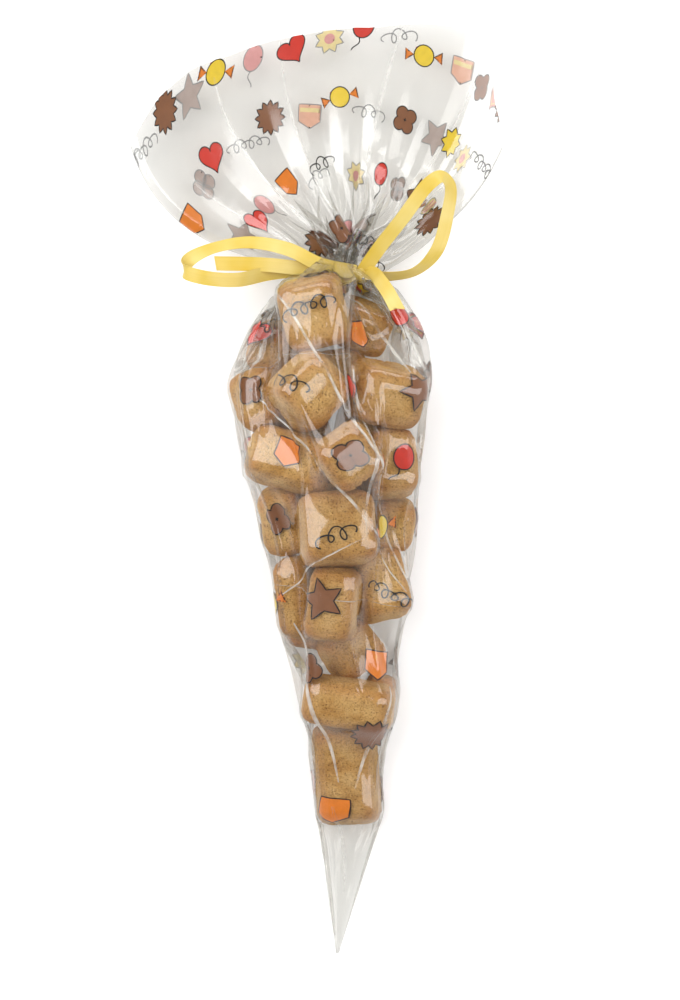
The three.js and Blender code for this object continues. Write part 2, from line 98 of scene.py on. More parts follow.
# The faces of a grid whose last column joins its first one.
def gridFaces(rows, count):
    index = np.arange(rows * count).reshape(rows, count)
    right = np.roll(index, -1, axis=1)
    return np.stack([index[:-1], right[:-1], right[1:], index[1:]], axis=-1).reshape(-1, 4)


noise = {"values": 4096, "primes": (73856093, 19349663, 83492791), "offset": 37.2}


# Smooth noise from -1 to 1, the same for the same seed.
def latticeNoise(points, size, seed):
    table = np.random.default_rng(seed).uniform(-1, 1, noise["values"])
    place = np.asarray(points, float) / size + noise["offset"]
    cell = np.floor(place).astype(np.int64)
    share = place - cell
    share = share * share * (3 - 2 * share)
    total = np.zeros(len(place))
    for corner in np.ndindex(2, 2, 2):
        key = np.bitwise_xor.reduce((cell + corner) * noise["primes"], axis=1)
        weight = np.prod(np.where(corner, share, 1 - share), axis=1)
        total += weight * table[key & (noise["values"] - 1)]
    return total


# Shader nodes: an input is another node's output, a number, or a colour without its alpha

def makeNode(tree, kind, inputs=None, **settings):
    made = tree.nodes.new("ShaderNode" + kind)
    for name, value in settings.items():
        setattr(made, name, value)
    for name, value in (inputs or {}).items():
        socket = made.inputs[name]
        if isinstance(value, bpy.types.NodeSocket):
            tree.links.new(value, socket)
        else:
            socket.default_value = (*value, 1) if socket.type == "RGBA" else value
    return made


def emptyTree(owner):
    owner.use_nodes = True
    owner.node_tree.nodes.clear()
    return owner.node_tree


def newMaterial(name):
    material = bpy.data.materials.new(name)
    return material, emptyTree(material)


def objectPlace(tree):
    return makeNode(tree, "TexCoord").outputs["Object"]


def noiseNode(tree, coords, scale, detail, rough=0.5):
    inputs = {"Vector": coords, "Scale": scale, "Detail": detail, "Roughness": rough}
    return makeNode(tree, "TexNoise", inputs).outputs["Fac"]


# Each stop is a position with a colour, or with a number for a grey.
def rampNode(tree, value, stops):
    made = makeNode(tree, "ValToRGB", {"Fac": value})
    ramp = made.color_ramp
    while len(ramp.elements) < len(stops):
        ramp.elements.new(0.5)
    for element, (position, colour) in zip(ramp.elements, stops):
        element.position = position
        element.color = (*(colour if isinstance(colour, tuple) else (colour,) * 3), 1)
    return made.outputs["Color"]


def mixNode(tree, factor, a, b, blend="MIX"):
    inputs = {"Factor": factor, "A": a, "B": b}
    return makeNode(tree, "Mix", inputs, data_type="RGBA", blend_type=blend).outputs["Result"]


def mathNode(tree, operation, *values):
    return makeNode(tree, "Math", dict(enumerate(values)), operation=operation).outputs[0]


def attributeNode(tree, name, output="Fac"):
    return makeNode(tree, "Attribute", attribute_name=name).outputs[output]


def bumpNode(tree, height, strength, distance):
    return makeNode(tree, "Bump", {"Height": height, "Strength": strength, "Distance": distance}).outputs[0]


def blendShaders(tree, factor, first, second):
    return makeNode(tree, "MixShader", {"Fac": factor, 1: first.outputs[0], 2: second.outputs[0]})


def plainShader(tree, colour, roughness, extra):
    return makeNode(tree, "BsdfPrincipled", {"Base Color": colour, "Roughness": roughness, **extra})


def shownBy(tree, shader, output="OutputMaterial"):
    makeNode(tree, output, {"Surface": shader.outputs[0]})


# Camera, light and floor

view = {
    "mmPerPixel": 0.351,
    "tipPixel": (337, 962),
    "middlePixel": (340, 500),
    "pixelsHigh": 1000,
    "height": 1500.0,
    "level": 15.0,
    "clipEnd": 20,
}


def makeCamera():
    camera = bpy.data.cameras.new("camera")
    across = (view["middlePixel"][0] - view["tipPixel"][0]) * view["mmPerPixel"]
    along = (view["tipPixel"][1] - view["middlePixel"][1]) * view["mmPerPixel"]
    camera.lens = camera.sensor_width * view["height"] / (view["pixelsHigh"] * view["mmPerPixel"])
    camera.clip_end = view["clipEnd"]
    rig = bpy.data.objects.new("camera", camera)
    rig.location = toMetres([[across, along, view["height"] + view["level"]]])[0]
    bpy.context.scene.collection.objects.link(rig)
    bpy.context.scene.camera = rig


lamps = {
    "left": {"place": (-0.75, 0.35, 1.0), "size": (0.8, 1.4), "watts": 12.0},
    "right": {"place": (0.8, -0.1, 0.9), "size": (0.5, 1.3), "watts": 6.0},
    "far": {"place": (0.1, 1.0, 0.8), "size": (1.4, 0.5), "watts": 6.0},
}


def makeLamp(name, facts):
    lamp = bpy.data.lights.new(name, "AREA")
    lamp.shape = "RECTANGLE"
    lamp.size, lamp.size_y = facts["size"]
    lamp.energy = facts["watts"]
    rig = bpy.data.objects.new(name, lamp)
    rig.location = facts["place"]
    rig.rotation_euler = (-Vector(facts["place"])).to_track_quat("-Z", "Y").to_euler()
    bpy.context.scene.collection.objects.link(rig)


# What glossy surfaces mirror goes from a bright horizon to a dim zenith.
studio = {"mirrored": [(0.1, 0.8), (0.85, 0.12)], "ambient": (0.5, 0.5, 0.5), "seen": (1, 1, 1)}


def makeWorld():
    world = bpy.data.worlds.new("studio")
    bpy.context.scene.world = world
    tree = emptyTree(world)
    rays = makeNode(tree, "LightPath").outputs
    place = makeNode(tree, "TexCoord").outputs["Generated"]
    height = makeNode(tree, "SeparateXYZ", {0: place}).outputs["Z"]
    mirrored = rampNode(tree, height, studio["mirrored"])
    light = mixNode(tree, rays["Is Glossy Ray"], studio["ambient"], mirrored)
    light = mixNode(tree, rays["Is Camera Ray"], light, studio["seen"])
    shownBy(tree, makeNode(tree, "Background", {"Color": light}), "OutputWorld")


ground = {"colour": (0.92, 0.92, 0.92), "glow": 0.22, "reach": 4.0, "level": -0.0004}


def makeFloor():
    material, tree = newMaterial("floor")
    seen = makeNode(tree, "LightPath").outputs["Is Camera Ray"]
    glow = makeNode(tree, "Emission", {"Strength": mathNode(tree, "MULTIPLY", seen, ground["glow"])})
    plain = makeNode(tree, "BsdfDiffuse", {"Color": ground["colour"]})
    shownBy(tree, makeNode(tree, "AddShader", {0: plain.outputs[0], 1: glow.outputs[0]}))
    mesh = bpy.data.meshes.new("floor")
    reach = ground["reach"]
    corners = [(x * reach, y * reach, 0) for x, y in ((-1, -1), (1, -1), (1, 1), (-1, 1))]
    mesh.from_pydata(corners, [], [(0, 1, 2, 3)])
    mesh.materials.append(material)
    floor = bpy.data.objects.new("floor", mesh)
    floor.location.z = ground["level"]
    bpy.context.scene.collection.objects.link(floor)
    floor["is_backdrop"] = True


# Biscuits

biscuit = {
    "voxel": 0.00062,  # metres
    "smoothing": 0.6,
    "blurs": 14,
    "crust": 4.5,
    "lumps": [(0.5, 6.5), (0.14, 2.6), (0.1, 1.1)],  # height and size
    "seedStep": 40,
    "crackSize": 5.2,
    "crackSharp": 7,
    "crackDeep": 0.6,
    "crackedSize": 9,
    "crackedSharp": 3,
    "grow": 0.85,
    "lowest": 0.6,
    "tone": 0.12,
    "toneTurn": 2.4,
}
baked = {
    "patchScale": 110,
    "patchDepth": 0.9,
    "pale": [(0.34, (0.56, 0.30, 0.085)), (0.5, (0.74, 0.46, 0.165)), (0.66, (0.85, 0.60, 0.27))],
    "brown": (0.54, 0.21, 0.042),
    "browned": 0.8,
    "dark": (0.30, 0.125, 0.045),
    "crumbScale": 1300,
    "grain": [(0.3, (0.6, 0.52, 0.42)), (0.48, (1, 1, 1)), (0.7, (1.12, 1.1, 1.04))],
    "grained": 0.8,
    "speckScale": 760,
    "speckAreas": 320,
    "poreScale": 2300,
    "speck": (0.13, 0.055, 0.02),
    "specked": 0.7,
    "bumpScale": 420,
    "bumpShare": 1.4,
    "bump": (0.8, 0.0006),
    "roughness": 0.82,
    "specular": 0.25,
}


def bakedMaterial():
    material, tree = newMaterial("baked_biscuit")
    coords = objectPlace(tree)
    patches = noiseNode(tree, coords, baked["patchScale"], 4, 0.6)
    uneven = mathNode(tree, "MULTIPLY", mathNode(tree, "SUBTRACT", patches, 0.5), baked["patchDepth"])
    edge = mathNode(tree, "ADD", attributeNode(tree, "crust"), uneven)
    edge = mathNode(tree, "MULTIPLY", rampNode(tree, edge, [(0.02, 0), (0.5, 1)]), baked["browned"])
    colour = mixNode(tree, edge, rampNode(tree, patches, baked["pale"]), baked["brown"])
    colour = mixNode(tree, attributeNode(tree, "tone"), colour, baked["dark"])
    crumbs = noiseNode(tree, coords, baked["crumbScale"], 3, 0.65)
    grain = rampNode(tree, crumbs, baked["grain"])
    colour = mixNode(tree, baked["grained"], colour, grain, "MULTIPLY")
    cells = makeNode(tree, "TexVoronoi", {"Vector": coords, "Scale": baked["speckScale"]}).outputs["Distance"]
    specks = rampNode(tree, cells, [(0.12, 1), (0.24, 0)])
    areas = rampNode(tree, noiseNode(tree, coords, baked["speckAreas"], 2), [(0.4, 0), (0.5, 1)])
    pores = rampNode(tree, noiseNode(tree, coords, baked["poreScale"], 2, 0.6), [(0.3, 1), (0.42, 0)])
    spots = mathNode(tree, "MAXIMUM", mathNode(tree, "MULTIPLY", specks, areas), pores)
    spots = mathNode(tree, "MULTIPLY", spots, baked["specked"])
    colour = mixNode(tree, spots, colour, baked["speck"])
    bumps = noiseNode(tree, coords, baked["bumpScale"], 3, 0.6)
    height = mathNode(tree, "ADD", crumbs, mathNode(tree, "MULTIPLY", bumps, baked["bumpShare"]))
    bump = bumpNode(tree, mathNode(tree, "SUBTRACT", height, spots), *baked["bump"])
    extra = {"Specular IOR Level": baked["specular"], "Normal": bump}
    shownBy(tree, plainShader(tree, colour, baked["roughness"], extra))
    return material


def neighbourMean(values, edges, count):
    total = np.zeros_like(values)
    for column in range(values.shape[1]):
        total[:, column] += np.bincount(edges[:, 0], values[edges[:, 1], column], count)
        total[:, column] += np.bincount(edges[:, 1], values[edges[:, 0], column], count)
    hits = np.bincount(edges.ravel(), minlength=count)
    return total / np.maximum(hits, 1)[:, None]


def readColumns(items, name, columns, kind=float):
    values = np.empty(len(items) * columns, kind)
    items.foreach_get(name, values)
    return values.reshape(-1, columns)


# The CAD's block, remeshed finely enough for its crust, crumb and cracks.
def makeBiscuit(node, index, material):
    source = bpy.data.objects.new(node.name + "_form", node.data.copy())
    bpy.context.scene.collection.objects.link(source)
    weld(source.data)
    remesh = source.modifiers.new("crust", "REMESH")
    remesh.mode = "VOXEL"
    remesh.voxel_size = biscuit["voxel"]
    shaped = source.evaluated_get(bpy.context.evaluated_depsgraph_get())
    mesh = bpy.data.meshes.new_from_object(shaped)
    bpy.data.objects.remove(source)
    count = len(mesh.vertices)
    points = fromMetres(readColumns(mesh.vertices, "co", 3))
    edges = readColumns(mesh.edges, "vertices", 2, int)
    share = biscuit["smoothing"]
    points = (1 - share) * points + share * neighbourMean(points, edges, count)
    normals = readColumns(mesh.vertices, "normal", 3)
    blurred = normals
    for _ in range(biscuit["blurs"]):
        blurred = neighbourMean(blurred, edges, count)
    crust = np.clip((1 - np.linalg.norm(blurred, axis=1)) * biscuit["crust"], 0, 1)
    seeds = 100 + index + biscuit["seedStep"] * np.arange(5)
    lift = sum(high * latticeNoise(points, size, seed) for (high, size), seed in zip(biscuit["lumps"], seeds))
    ridge = 1 - np.abs(latticeNoise(points, biscuit["crackSize"], seeds[3])) * biscuit["crackSharp"]
    cracked = latticeNoise(points, biscuit["crackedSize"], seeds[4]) * biscuit["crackedSharp"]
    cracks = np.clip(ridge, 0, 1) * np.clip(cracked, 0, 1)
    lift += biscuit["grow"] - biscuit["crackDeep"] * cracks
    points = points + normals * lift[:, None]
    points[:, 2] = np.maximum(points[:, 2], biscuit["lowest"])
    mesh.vertices.foreach_set("co", toMetres(points).ravel())
    tone = biscuit["tone"] * (1 + math.sin(index * biscuit["toneTurn"]))
    for name, values in (("crust", crust), ("tone", np.full(count, tone))):
        mesh.attributes.new(name, "FLOAT", "POINT").data.foreach_set("value", values.astype(np.float32))
    piece = addPiece(node.name + "_baked", mesh, material)
    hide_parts(node.name)


# Film: its flat pattern is a sector of a disc, closed into a cone, and it is drawn in at the tie

film = {
    "sector": 1.07,  # radians
    "tie": 260.0,  # along the film from the tip to the tie
    "around": 288,
    "along": 301,
    "fanShare": 90,  # the mouth's part of the rows, as a length
    "start": 1.2,
    "clear": 1.75,
    "leanFrom": 203.0,
    "leanTo": 236.0,
    "lean": 0.45,
    "stages": [(260, 0.04, 0.35), (220, 0.02, 0.3), (170, 0.008, 0.25)],  # rounds, pull on slack, stiffness
    "quickRounds": 60,
}
coarseRows = (film["along"] - 1) // 4 + 1
# The rim from the left corner to the right one: direction from the tie in degrees, distance from the tie.
rim = [
    (149, 88.5), (137, 91), (126, 91), (118, 88), (101, 86.5), (84, 88), (70, 94.5), (63, 97), (57, 94),
    (50, 81), (39, 71),
]

# How wide a sector the film has at each distance from the tip, in radians, where its contents are stout.
stout = {"away": np.array([0.0]), "sector": np.array([film["sector"]])}

# The left and right edges of the filled part, station by station from the tip.
edges = [
    (0, -1, 1), (39, -5, 12), (64, -8, 18), (85, -11, 20), (99, -18, 22),
    (113, -20, 24), (131, -22, 27), (152, -27, 28), (169, -32, 29), (187, -37, 31),
    (203, -38, 33), (218, -33, 31), (232, -24, 24), (246, -14, 14),
]


def sectorAt(away):
    return np.interp(away, stout["away"], stout["sector"])


def edgeAt(along, column):
    return np.interp(along, [e[0] for e in edges], [e[column] for e in edges])


def leanAt(along, height):
    share = np.clip((along - film["leanFrom"]) / (film["leanTo"] - film["leanFrom"]), 0, 1)
    return film["lean"] * share * share * (3 - 2 * share) * (height - tie["place"][2])


def cornersOfBiscuits():
    cornerSets = [fromMetres(readColumns(node.data.vertices, "co", 3)) for node in biscuitNodes]
    return [np.unique(np.round(corners, 3), axis=0) for corners in cornerSets]


def ringTurns(count):
    return math.pi + np.arange(count) / count * 2 * math.pi


wrap = {"near": 3.0, "slope": 0.42, "off": 1.6, "low": 0.4}


# The outline round everything near a station, with the film bridging the gaps.
def wrappedSection(along, upright, count):
    turns = ringTurns(count) - math.pi / count
    out = np.stack([np.cos(turns), np.sin(turns)])
    far = np.maximum(np.abs(upright[:, 1] - along) - wrap["near"], 0)
    reach = (upright[:, [0, 2]] @ out) - wrap["slope"] * far[:, None]
    spans = reach.max(axis=0) + wrap["off"]
    nextSpans = np.roll(spans, -1)
    nextOut = np.roll(out, -1, axis=1)
    cross = out[0] * nextOut[1] - out[1] * nextOut[0]
    x = (spans * nextOut[1] - nextSpans * out[1]) / cross
    z = (nextSpans * out[0] - spans * nextOut[0]) / cross
    return evenRing(np.stack([x, np.maximum(z, wrap["low"])], axis=1))


def evenRing(ring):
    closed = np.vstack([ring, ring[:1]])
    lengths = np.concatenate([[0], np.cumsum(np.linalg.norm(np.diff(closed, axis=0), axis=1))])
    want = np.arange(len(ring)) / len(ring) * lengths[-1]
    return np.stack([np.interp(want, lengths, closed[:, c]) for c in range(2)], axis=1)


def lengthRound(ring):
    return np.linalg.norm(np.roll(ring, -1, axis=0) - ring, axis=1).sum()


def ovalRing(halfWide, halfThick, across, height, count):
    turns = ringTurns(count)
    return np.stack([across + halfWide * np.cos(turns), height + halfThick * np.sin(turns)], axis=1)


zigzag = {"knots": 24, "wander": 0.55, "shift": 5, "size": 0.95}


# A zigzag round the film, uneven like real gathers, from -1 to 1.
def teethAt(shares, teeth, seed):
    count = zigzag["knots"]
    knots = np.random.default_rng(seed).uniform(-0.5, 0.5, count)
    shifted = np.roll(knots, zigzag["shift"])
    wander, swell = (
        np.interp(shares * count, np.arange(count + 1), np.append(line, line[0])) for line in (knots, shifted)
    )
    phase = (shares * teeth + zigzag["wander"] * wander) % 1
    return (4 * np.abs(phase - 0.5) - 1) * (swell + zigzag["size"])


# How deep the gathers are that take up the spare part of a flat length.
def toothDepth(length, flatLength, teeth, most):
    spare = max(flatLength / length, 1.0)
    return min(length / teeth / 4 * math.sqrt(spare * spare - 1), most)


def gathered(ring, flatLength, teeth, seed, most):
    outward = ring - ring.mean(axis=0)
    outward /= np.linalg.norm(outward, axis=1)[:, None] + 1e-9
    depth = toothDepth(lengthRound(ring), flatLength, teeth, most)
    shares = np.arange(len(ring)) / len(ring)
    return ring + outward * (depth * teethAt(shares, teeth, seed))[:, None]


def rimDistance(degrees):
    return np.interp(-np.asarray(degrees), [-d for d, _ in rim], [r for _, r in rim])


# The direction in degrees of a point of one layer's rim, for even steps along the rim from left to right.
def rimTurn(half):
    fine = np.linspace(rim[0][0], rim[-1][0], 400)
    line = rimDistance(fine) * np.exp(1j * np.radians(fine))
    run = np.concatenate([[0], np.cumsum(np.abs(np.diff(line)))])
    return np.interp(half, run / run[-1], fine)


mouth = {
    "left": 176,  # directions in degrees at the neck
    "right": 4,
    "teeth": 10,
    "deepest": 3.6,
    "fade": 2.2,
    "level": 6.5,
    "curlRight": 9,
    "curlLeft": 3,
    "gap": (3.2, 1.3, 0.4),  # between the layers: at the neck, in the middle, everywhere
    "low": 0.4,
}


# One row of the flared mouth: its lower layer from the left to the right, then its upper one back.
def fanRow(share, count):
    left = mouth["left"] + (rim[0][0] - mouth["left"]) * share**2
    right = mouth["right"] + (rim[-1][0] - mouth["right"]) * share**0.9
    turn = np.arange(count) / count * 2
    back = turn < 1
    v = np.where(back, turn, 2 - turn)
    atRim = rimTurn(v)
    degrees = left + (right - left) * (rim[0][0] - atRim) / (rim[0][0] - rim[-1][0])
    distance = rimDistance(atRim) * share
    flat = film["sector"] * (film["tie"] + distance.mean()) / 2
    arc = math.radians(left - right) * distance.mean() + 4
    depth = toothDepth(arc, flat, mouth["teeth"], mouth["deepest"]) * (1 - share) ** mouth["fade"]
    zig = np.where(back, teethAt(v, mouth["teeth"], 7), teethAt(v, mouth["teeth"] - 2, 8))
    puff = np.sin(math.pi * v) ** 0.5
    side = np.where(back, -1.0, 1.0)
    curl = mouth["curlRight"] * v**3 * share**2 + mouth["curlLeft"] * (1 - v) ** 4 * share**2
    neck = tie["place"]
    level = neck[2] + (mouth["level"] - neck[2]) * math.sin(share * math.pi / 2) + curl
    atNeck, inMiddle, everywhere = mouth["gap"]
    gap = atNeck * (1 - share) ** 3 + inMiddle * puff * share**0.5 + everywhere
    rad = np.radians(degrees)
    x = neck[0] + distance * np.cos(rad)
    y = neck[1] + tie["half"] * (1 - share) + distance * np.sin(rad)
    z = np.maximum(level + side * gap + depth * zig * (0.4 + 0.6 * puff), mouth["low"])
    return np.stack([x, y, z], axis=1)


# Twice as many points each way: round the film, and from the tip to the rim.
def upsample(grid):
    wide = np.empty((grid.shape[0], grid.shape[1] * 2, 3))
    wide[:, 0::2] = grid
    wide[:, 1::2] = (grid + np.roll(grid, -1, axis=1)) / 2
    tall = np.empty((grid.shape[0] * 2 - 1, wide.shape[1], 3))
    tall[0::2] = wide
    tall[1::2] = (wide[1:] + wide[:-1]) / 2
    return tall


# How far a point is from the nearest biscuit, from a lattice of samples.
class HeldOut:
    step = 1.25
    reach = 6.0

    def __init__(self, pieces):
        everything = np.vstack(pieces)
        self.low = everything.min(axis=0) - self.reach
        size = np.ceil((everything.max(axis=0) + self.reach - self.low) / self.step).astype(int) + 1
        self.far = np.full(size, self.reach)
        axes = [self.low[c] + np.arange(size[c]) * self.step for c in range(3)]
        for node, corners in zip(biscuitNodes, pieces):
            planes = self.planesOf(node)
            first = ((corners.min(axis=0) - self.reach - self.low) / self.step).astype(int)
            last = ((corners.max(axis=0) + self.reach - self.low) / self.step).astype(int) + 2
            part = tuple(slice(max(a, 0), min(b, most)) for a, b, most in zip(first, last, size))
            block = np.stack(np.meshgrid(*[axes[c][part[c]] for c in range(3)], indexing="ij"), axis=-1)
            gap = (block @ planes[:, :3].T - planes[:, 3]).max(axis=-1)
            self.far[part] = np.minimum(self.far[part], gap)
        self.slope = np.stack(np.gradient(self.far, self.step), axis=-1)

    @staticmethod
    def planesOf(node):
        found = {}
        for face in node.data.polygons:
            normal = np.array(face.normal)
            point = fromMetres([node.data.vertices[face.vertices[0]].co])[0]
            found[tuple(np.round(normal, 2))] = np.append(normal, normal @ point)
        return np.array(list(found.values()))

    def sample(self, points):
        place = (points - self.low) / self.step
        top = np.array(self.far.shape) - 1.001
        inside = ((place >= 0) & (place <= top)).all(axis=1)
        place = np.clip(place, 0, top)
        cell = place.astype(int)
        share = place - cell
        gap = np.zeros(len(points))
        slope = np.zeros((len(points), 3))
        for corner in np.ndindex(2, 2, 2):
            weight = np.prod(np.where(corner, share, 1 - share), axis=1)
            at = tuple((cell + corner).T)
            gap += weight * self.far[at]
            slope += weight[:, None] * self.slope[at]
        gap[~inside] = self.reach
        return gap, slope / (np.linalg.norm(slope, axis=1)[:, None] + 1e-9)


def bodyRows(rows):
    length = film["tie"] - film["start"]
    return round((rows - 1) * length / (length + film["fanShare"]))


# Each point's distance from the tip on the flat film, and its share of the way round.
def flatPlaces(rows, count, coarse):
    body = bodyRows(coarse) / (coarse - 1) * (rows - 1)
    row = np.arange(rows)[:, None]
    turn = np.arange(count) / count * 2
    reach = rimDistance(rimTurn(np.where(turn < 1, turn, 2 - turn)))[None, :]
    inBody = film["start"] + (film["tie"] - film["start"]) * row / body + 0 * reach
    inFan = film["tie"] + reach * (row - body) / (rows - 1 - body)
    return np.where(row <= body, inBody, inFan), np.arange(count) / count


# Pairs of points that hold each other, in groups where no point comes twice.
def pairGroups(rows, count):
    index = np.arange(rows * count).reshape(rows, count)
    right = np.roll(index, -1, axis=1)
    groups = []
    for odd in (0, 1):
        low, high = index[odd:-1:2], index[odd + 1::2]
        lowRight, highRight = right[odd:-1:2], right[odd + 1::2]
        high, highRight = high[:len(low)], highRight[:len(low)]
        groups.append(("round", index[:, odd::2].ravel(), right[:, odd::2].ravel()))
        groups.append(("along", low.ravel(), high.ravel()))
        groups.append(("shear", low.ravel(), highRight.ravel()))
        groups.append(("shear", lowRight.ravel(), high.ravel()))
    second = np.roll(index, -2, axis=1)
    for start in (0, 1):
        picks = [c for c in range(count) if c % 4 in (2 * start, 2 * start + 1)]
        groups.append(("bend", index[:, picks].ravel(), second[:, picks].ravel()))
        lines = [r for r in range(rows - 2) if r % 4 in (2 * start, 2 * start + 1)]
        groups.append(("bend", index[lines].ravel(), index[[r + 2 for r in lines]].ravel()))
    return groups


# Lengths are from the tie unless they say otherwise; a guide is how strongly a point is held to its start.
settling = {
    "spreadFrom": 6,
    "spreadOver": 28,
    "nearTie": 11,
    "fanFrom": 4,
    "bodyTo": 6,
    "fanOver": 80,
    "fanGuide": (0.004, 0.06),
    "guideUp": 1.6,
    "rimGuide": (0.4, 3),  # strength, and the length from the rim
    "tailGuide": (0.06, 45),  # strength, and the length from the tip
    "tipGuide": (0.5, 3),
    "sag": 0.02,
    "normalsEvery": 4,
    "sides": (-1.2, 1.5),
    "lowest": 0.15,
}


# Lengths on the flat film. Past the gathers, the mouth's film keeps the width that it is spread to.
def restLengths(groups, away, shares, home):
    s = away.ravel()
    a = np.tile(shares, away.shape[0])
    sector = sectorAt(s)
    made = []
    for kind, first, second in groups:
        apart = np.abs(a[first] - a[second])
        apart = np.minimum(apart, 1 - apart) * (sector[first] + sector[second]) / 2
        square = s[first] ** 2 + s[second] ** 2 - 2 * s[first] * s[second] * np.cos(apart)
        rest = np.sqrt(np.maximum(square, 1e-6))
        spread = np.clip((s[first] - film["tie"] - settling["spreadFrom"]) / settling["spreadOver"], 0, 1)
        rest += (np.linalg.norm(home[second] - home[first], axis=1) - rest) * spread
        made.append((kind, first, second, rest))
    return made


def guideOf(away):
    s = away.ravel()
    fanShare = np.clip((s - film["tie"]) / settling["fanOver"], 0, 1)
    low, more = settling["fanGuide"]
    fan = s > film["tie"] + settling["fanFrom"]
    guide = np.where(fan, low + more * fanShare, 0)[:, None] * np.array([1, 1, settling["guideUp"]])
    strength, length = settling["rimGuide"]
    guide[(away > away[-1] - length).ravel()] = strength
    strength, length = settling["tailGuide"]
    guide[s < length] = strength
    strength, length = settling["tipGuide"]
    guide[s < film["start"] + length] = strength
    return guide


def relax(grid, rounds, held, slackPull, bend):
    rows, count = grid.shape[:2]
    away, shares = flatPlaces(rows, count, coarseRows)
    points = grid.reshape(-1, 3).copy()
    home = points.copy()
    groups = restLengths(pairGroups(rows, count), away, shares, home)
    guide = guideOf(away)
    s = away.ravel()
    atTie = np.abs(s - film["tie"]) < tie["half"]
    nearTie = np.abs(s - film["tie"]) < settling["nearTie"]
    body = np.flatnonzero(s < film["tie"] + settling["bodyTo"])
    for step in range(rounds):
        ease = 1 - step / rounds
        points[:, 2] -= settling["sag"] * ease
        if step % settling["normalsEvery"] == 0:
            normal = -gridNormals(points.reshape(rows, count, 3)).reshape(-1, 3)
        points[body] -= normal[body] * slackPull * ease
        for kind, first, second, rest in groups:
            apart = points[second] - points[first]
            length = np.sqrt((apart * apart).sum(axis=1)) + 1e-9
            over = (length - rest) / length
            if kind == "bend":
                over = np.minimum(over, 0) * bend
            elif kind == "along":
                over = over * 0.5
            else:
                over = np.where(nearTie[first] & (over < 0), 0, over) * 0.5
            move = apart * over[:, None]
            points[first] += move
            points[second] -= move
        points += (home - points) * guide
        gap, slope = held.sample(points[body])
        short = np.maximum(film["clear"] - gap, 0)
        points[body] += slope * short[:, None]
        along = points[body, 1]
        left, right = (edgeAt(along, side + 1) + settling["sides"][side] for side in (0, 1))
        points[body, 0] = np.clip(points[body, 0], left, right)
        spoke = points[atTie] - tie["place"]
        spoke[:, 1] = 0
        out = np.linalg.norm(spoke, axis=1)[:, None] + 1e-9
        points[atTie] -= spoke * np.maximum(1 - tie["radius"] / out, 0)
        np.maximum(points[:, 2], settling["lowest"], out=points[:, 2])
    return points.reshape(rows, count, 3)


stack = {
    "tailRings": 14,
    "bodyRings": 90,
    "neckRings": (-5, -3.7, 0),  # from the tie
    "tailWide": (0.215, 0.1),  # by the length from the tip, and at the tip
    "tailThick": (0.07, 0.05),
    "tailOff": 0.2,
    "tailAcross": 4.2,
    "slack": 1.02,
    "teeth": 26,
    "seed": 5,
    "deepest": (2.2, 1.3),
    "neckIn": 1.4,
    "leanTo": 5.5,
    "leanRounds": 40,
}


# The bag's rings in even steps from the tip to the tie, before it settles, and its length along the film.
def stackedRings(corners, count):
    cloud = np.vstack(corners)
    upright = cloud.copy()
    upright[:, 1] -= leanAt(cloud[:, 1], cloud[:, 2])
    first, last = upright[:, 1].min(), upright[:, 1].max()
    neck = tie["place"][1]
    tail = np.linspace(film["start"], first - 4, stack["tailRings"])
    filledPart = np.linspace(first, last + 1, stack["bodyRings"])
    rings, around = [], []
    for along in np.concatenate([tail, filledPart, [neck + place for place in stack["neckRings"]]]):
        flat = film["sector"] * along * film["tie"] / neck
        if along < first - 1:
            halfWide, halfThick = (stack[key][0] * along + stack[key][1] for key in ("tailWide", "tailThick"))
            across = stack["tailAcross"] * (along / first)
            ring = ovalRing(halfWide, halfThick, across, halfThick + stack["tailOff"], count)
        elif along <= last + 1:
            ring = wrappedSection(along, upright, count)
            flat = max(flat, stack["slack"] * lengthRound(ring))
            ring = gathered(ring, flat, stack["teeth"], stack["seed"], stack["deepest"][0])
        else:
            radius = tie["radius"] - stack["neckIn"]
            ring = ovalRing(radius, radius, tie["place"][0], tie["place"][2], count)
            ring = gathered(ring, flat, stack["teeth"], stack["seed"], stack["deepest"][1])
        points = np.stack([ring[:, 0], np.full(count, along), ring[:, 1]], axis=1)
        if first < along < neck - stack["leanTo"]:
            y = points[:, 1].copy()
            for _ in range(stack["leanRounds"]):
                y = points[:, 1] + leanAt(y, points[:, 2])
            points[:, 1] = y
        rings.append(points)
        around.append(flat)
    middles = np.array([[ring[:, 0].mean(), ring[:, 1].mean(), ring[:, 2].max()] for ring in rings])
    steps = np.linalg.norm(np.diff(middles, axis=0), axis=1)
    lengths = np.concatenate([[0], np.cumsum(steps)])
    lengths = film["start"] + lengths * (film["tie"] - film["start"]) / lengths[-1]
    stout["away"] = lengths
    stout["sector"] = np.maximum(np.array(around) / lengths, film["sector"])
    return np.array(rings), lengths


# The coarsest film: wrapped round the biscuits, pinched at the tie, then fanned out.
def startGrid(corners):
    count, rows = film["around"] // 4, coarseRows
    body = bodyRows(rows)
    rings, lengths = stackedRings(corners, count)
    grid = np.empty((rows, count, 3))
    for row, length in enumerate(np.linspace(film["start"], film["tie"], body + 1)):
        at = min(int(np.searchsorted(lengths, length, side="right")) - 1, len(rings) - 2)
        share = (length - lengths[at]) / (lengths[at + 1] - lengths[at])
        grid[row] = rings[at] * (1 - share) + rings[at + 1] * share
    for row in range(body + 1, rows):
        grid[row] = fanRow((row - body) / (rows - 1 - body), count)
    return grid


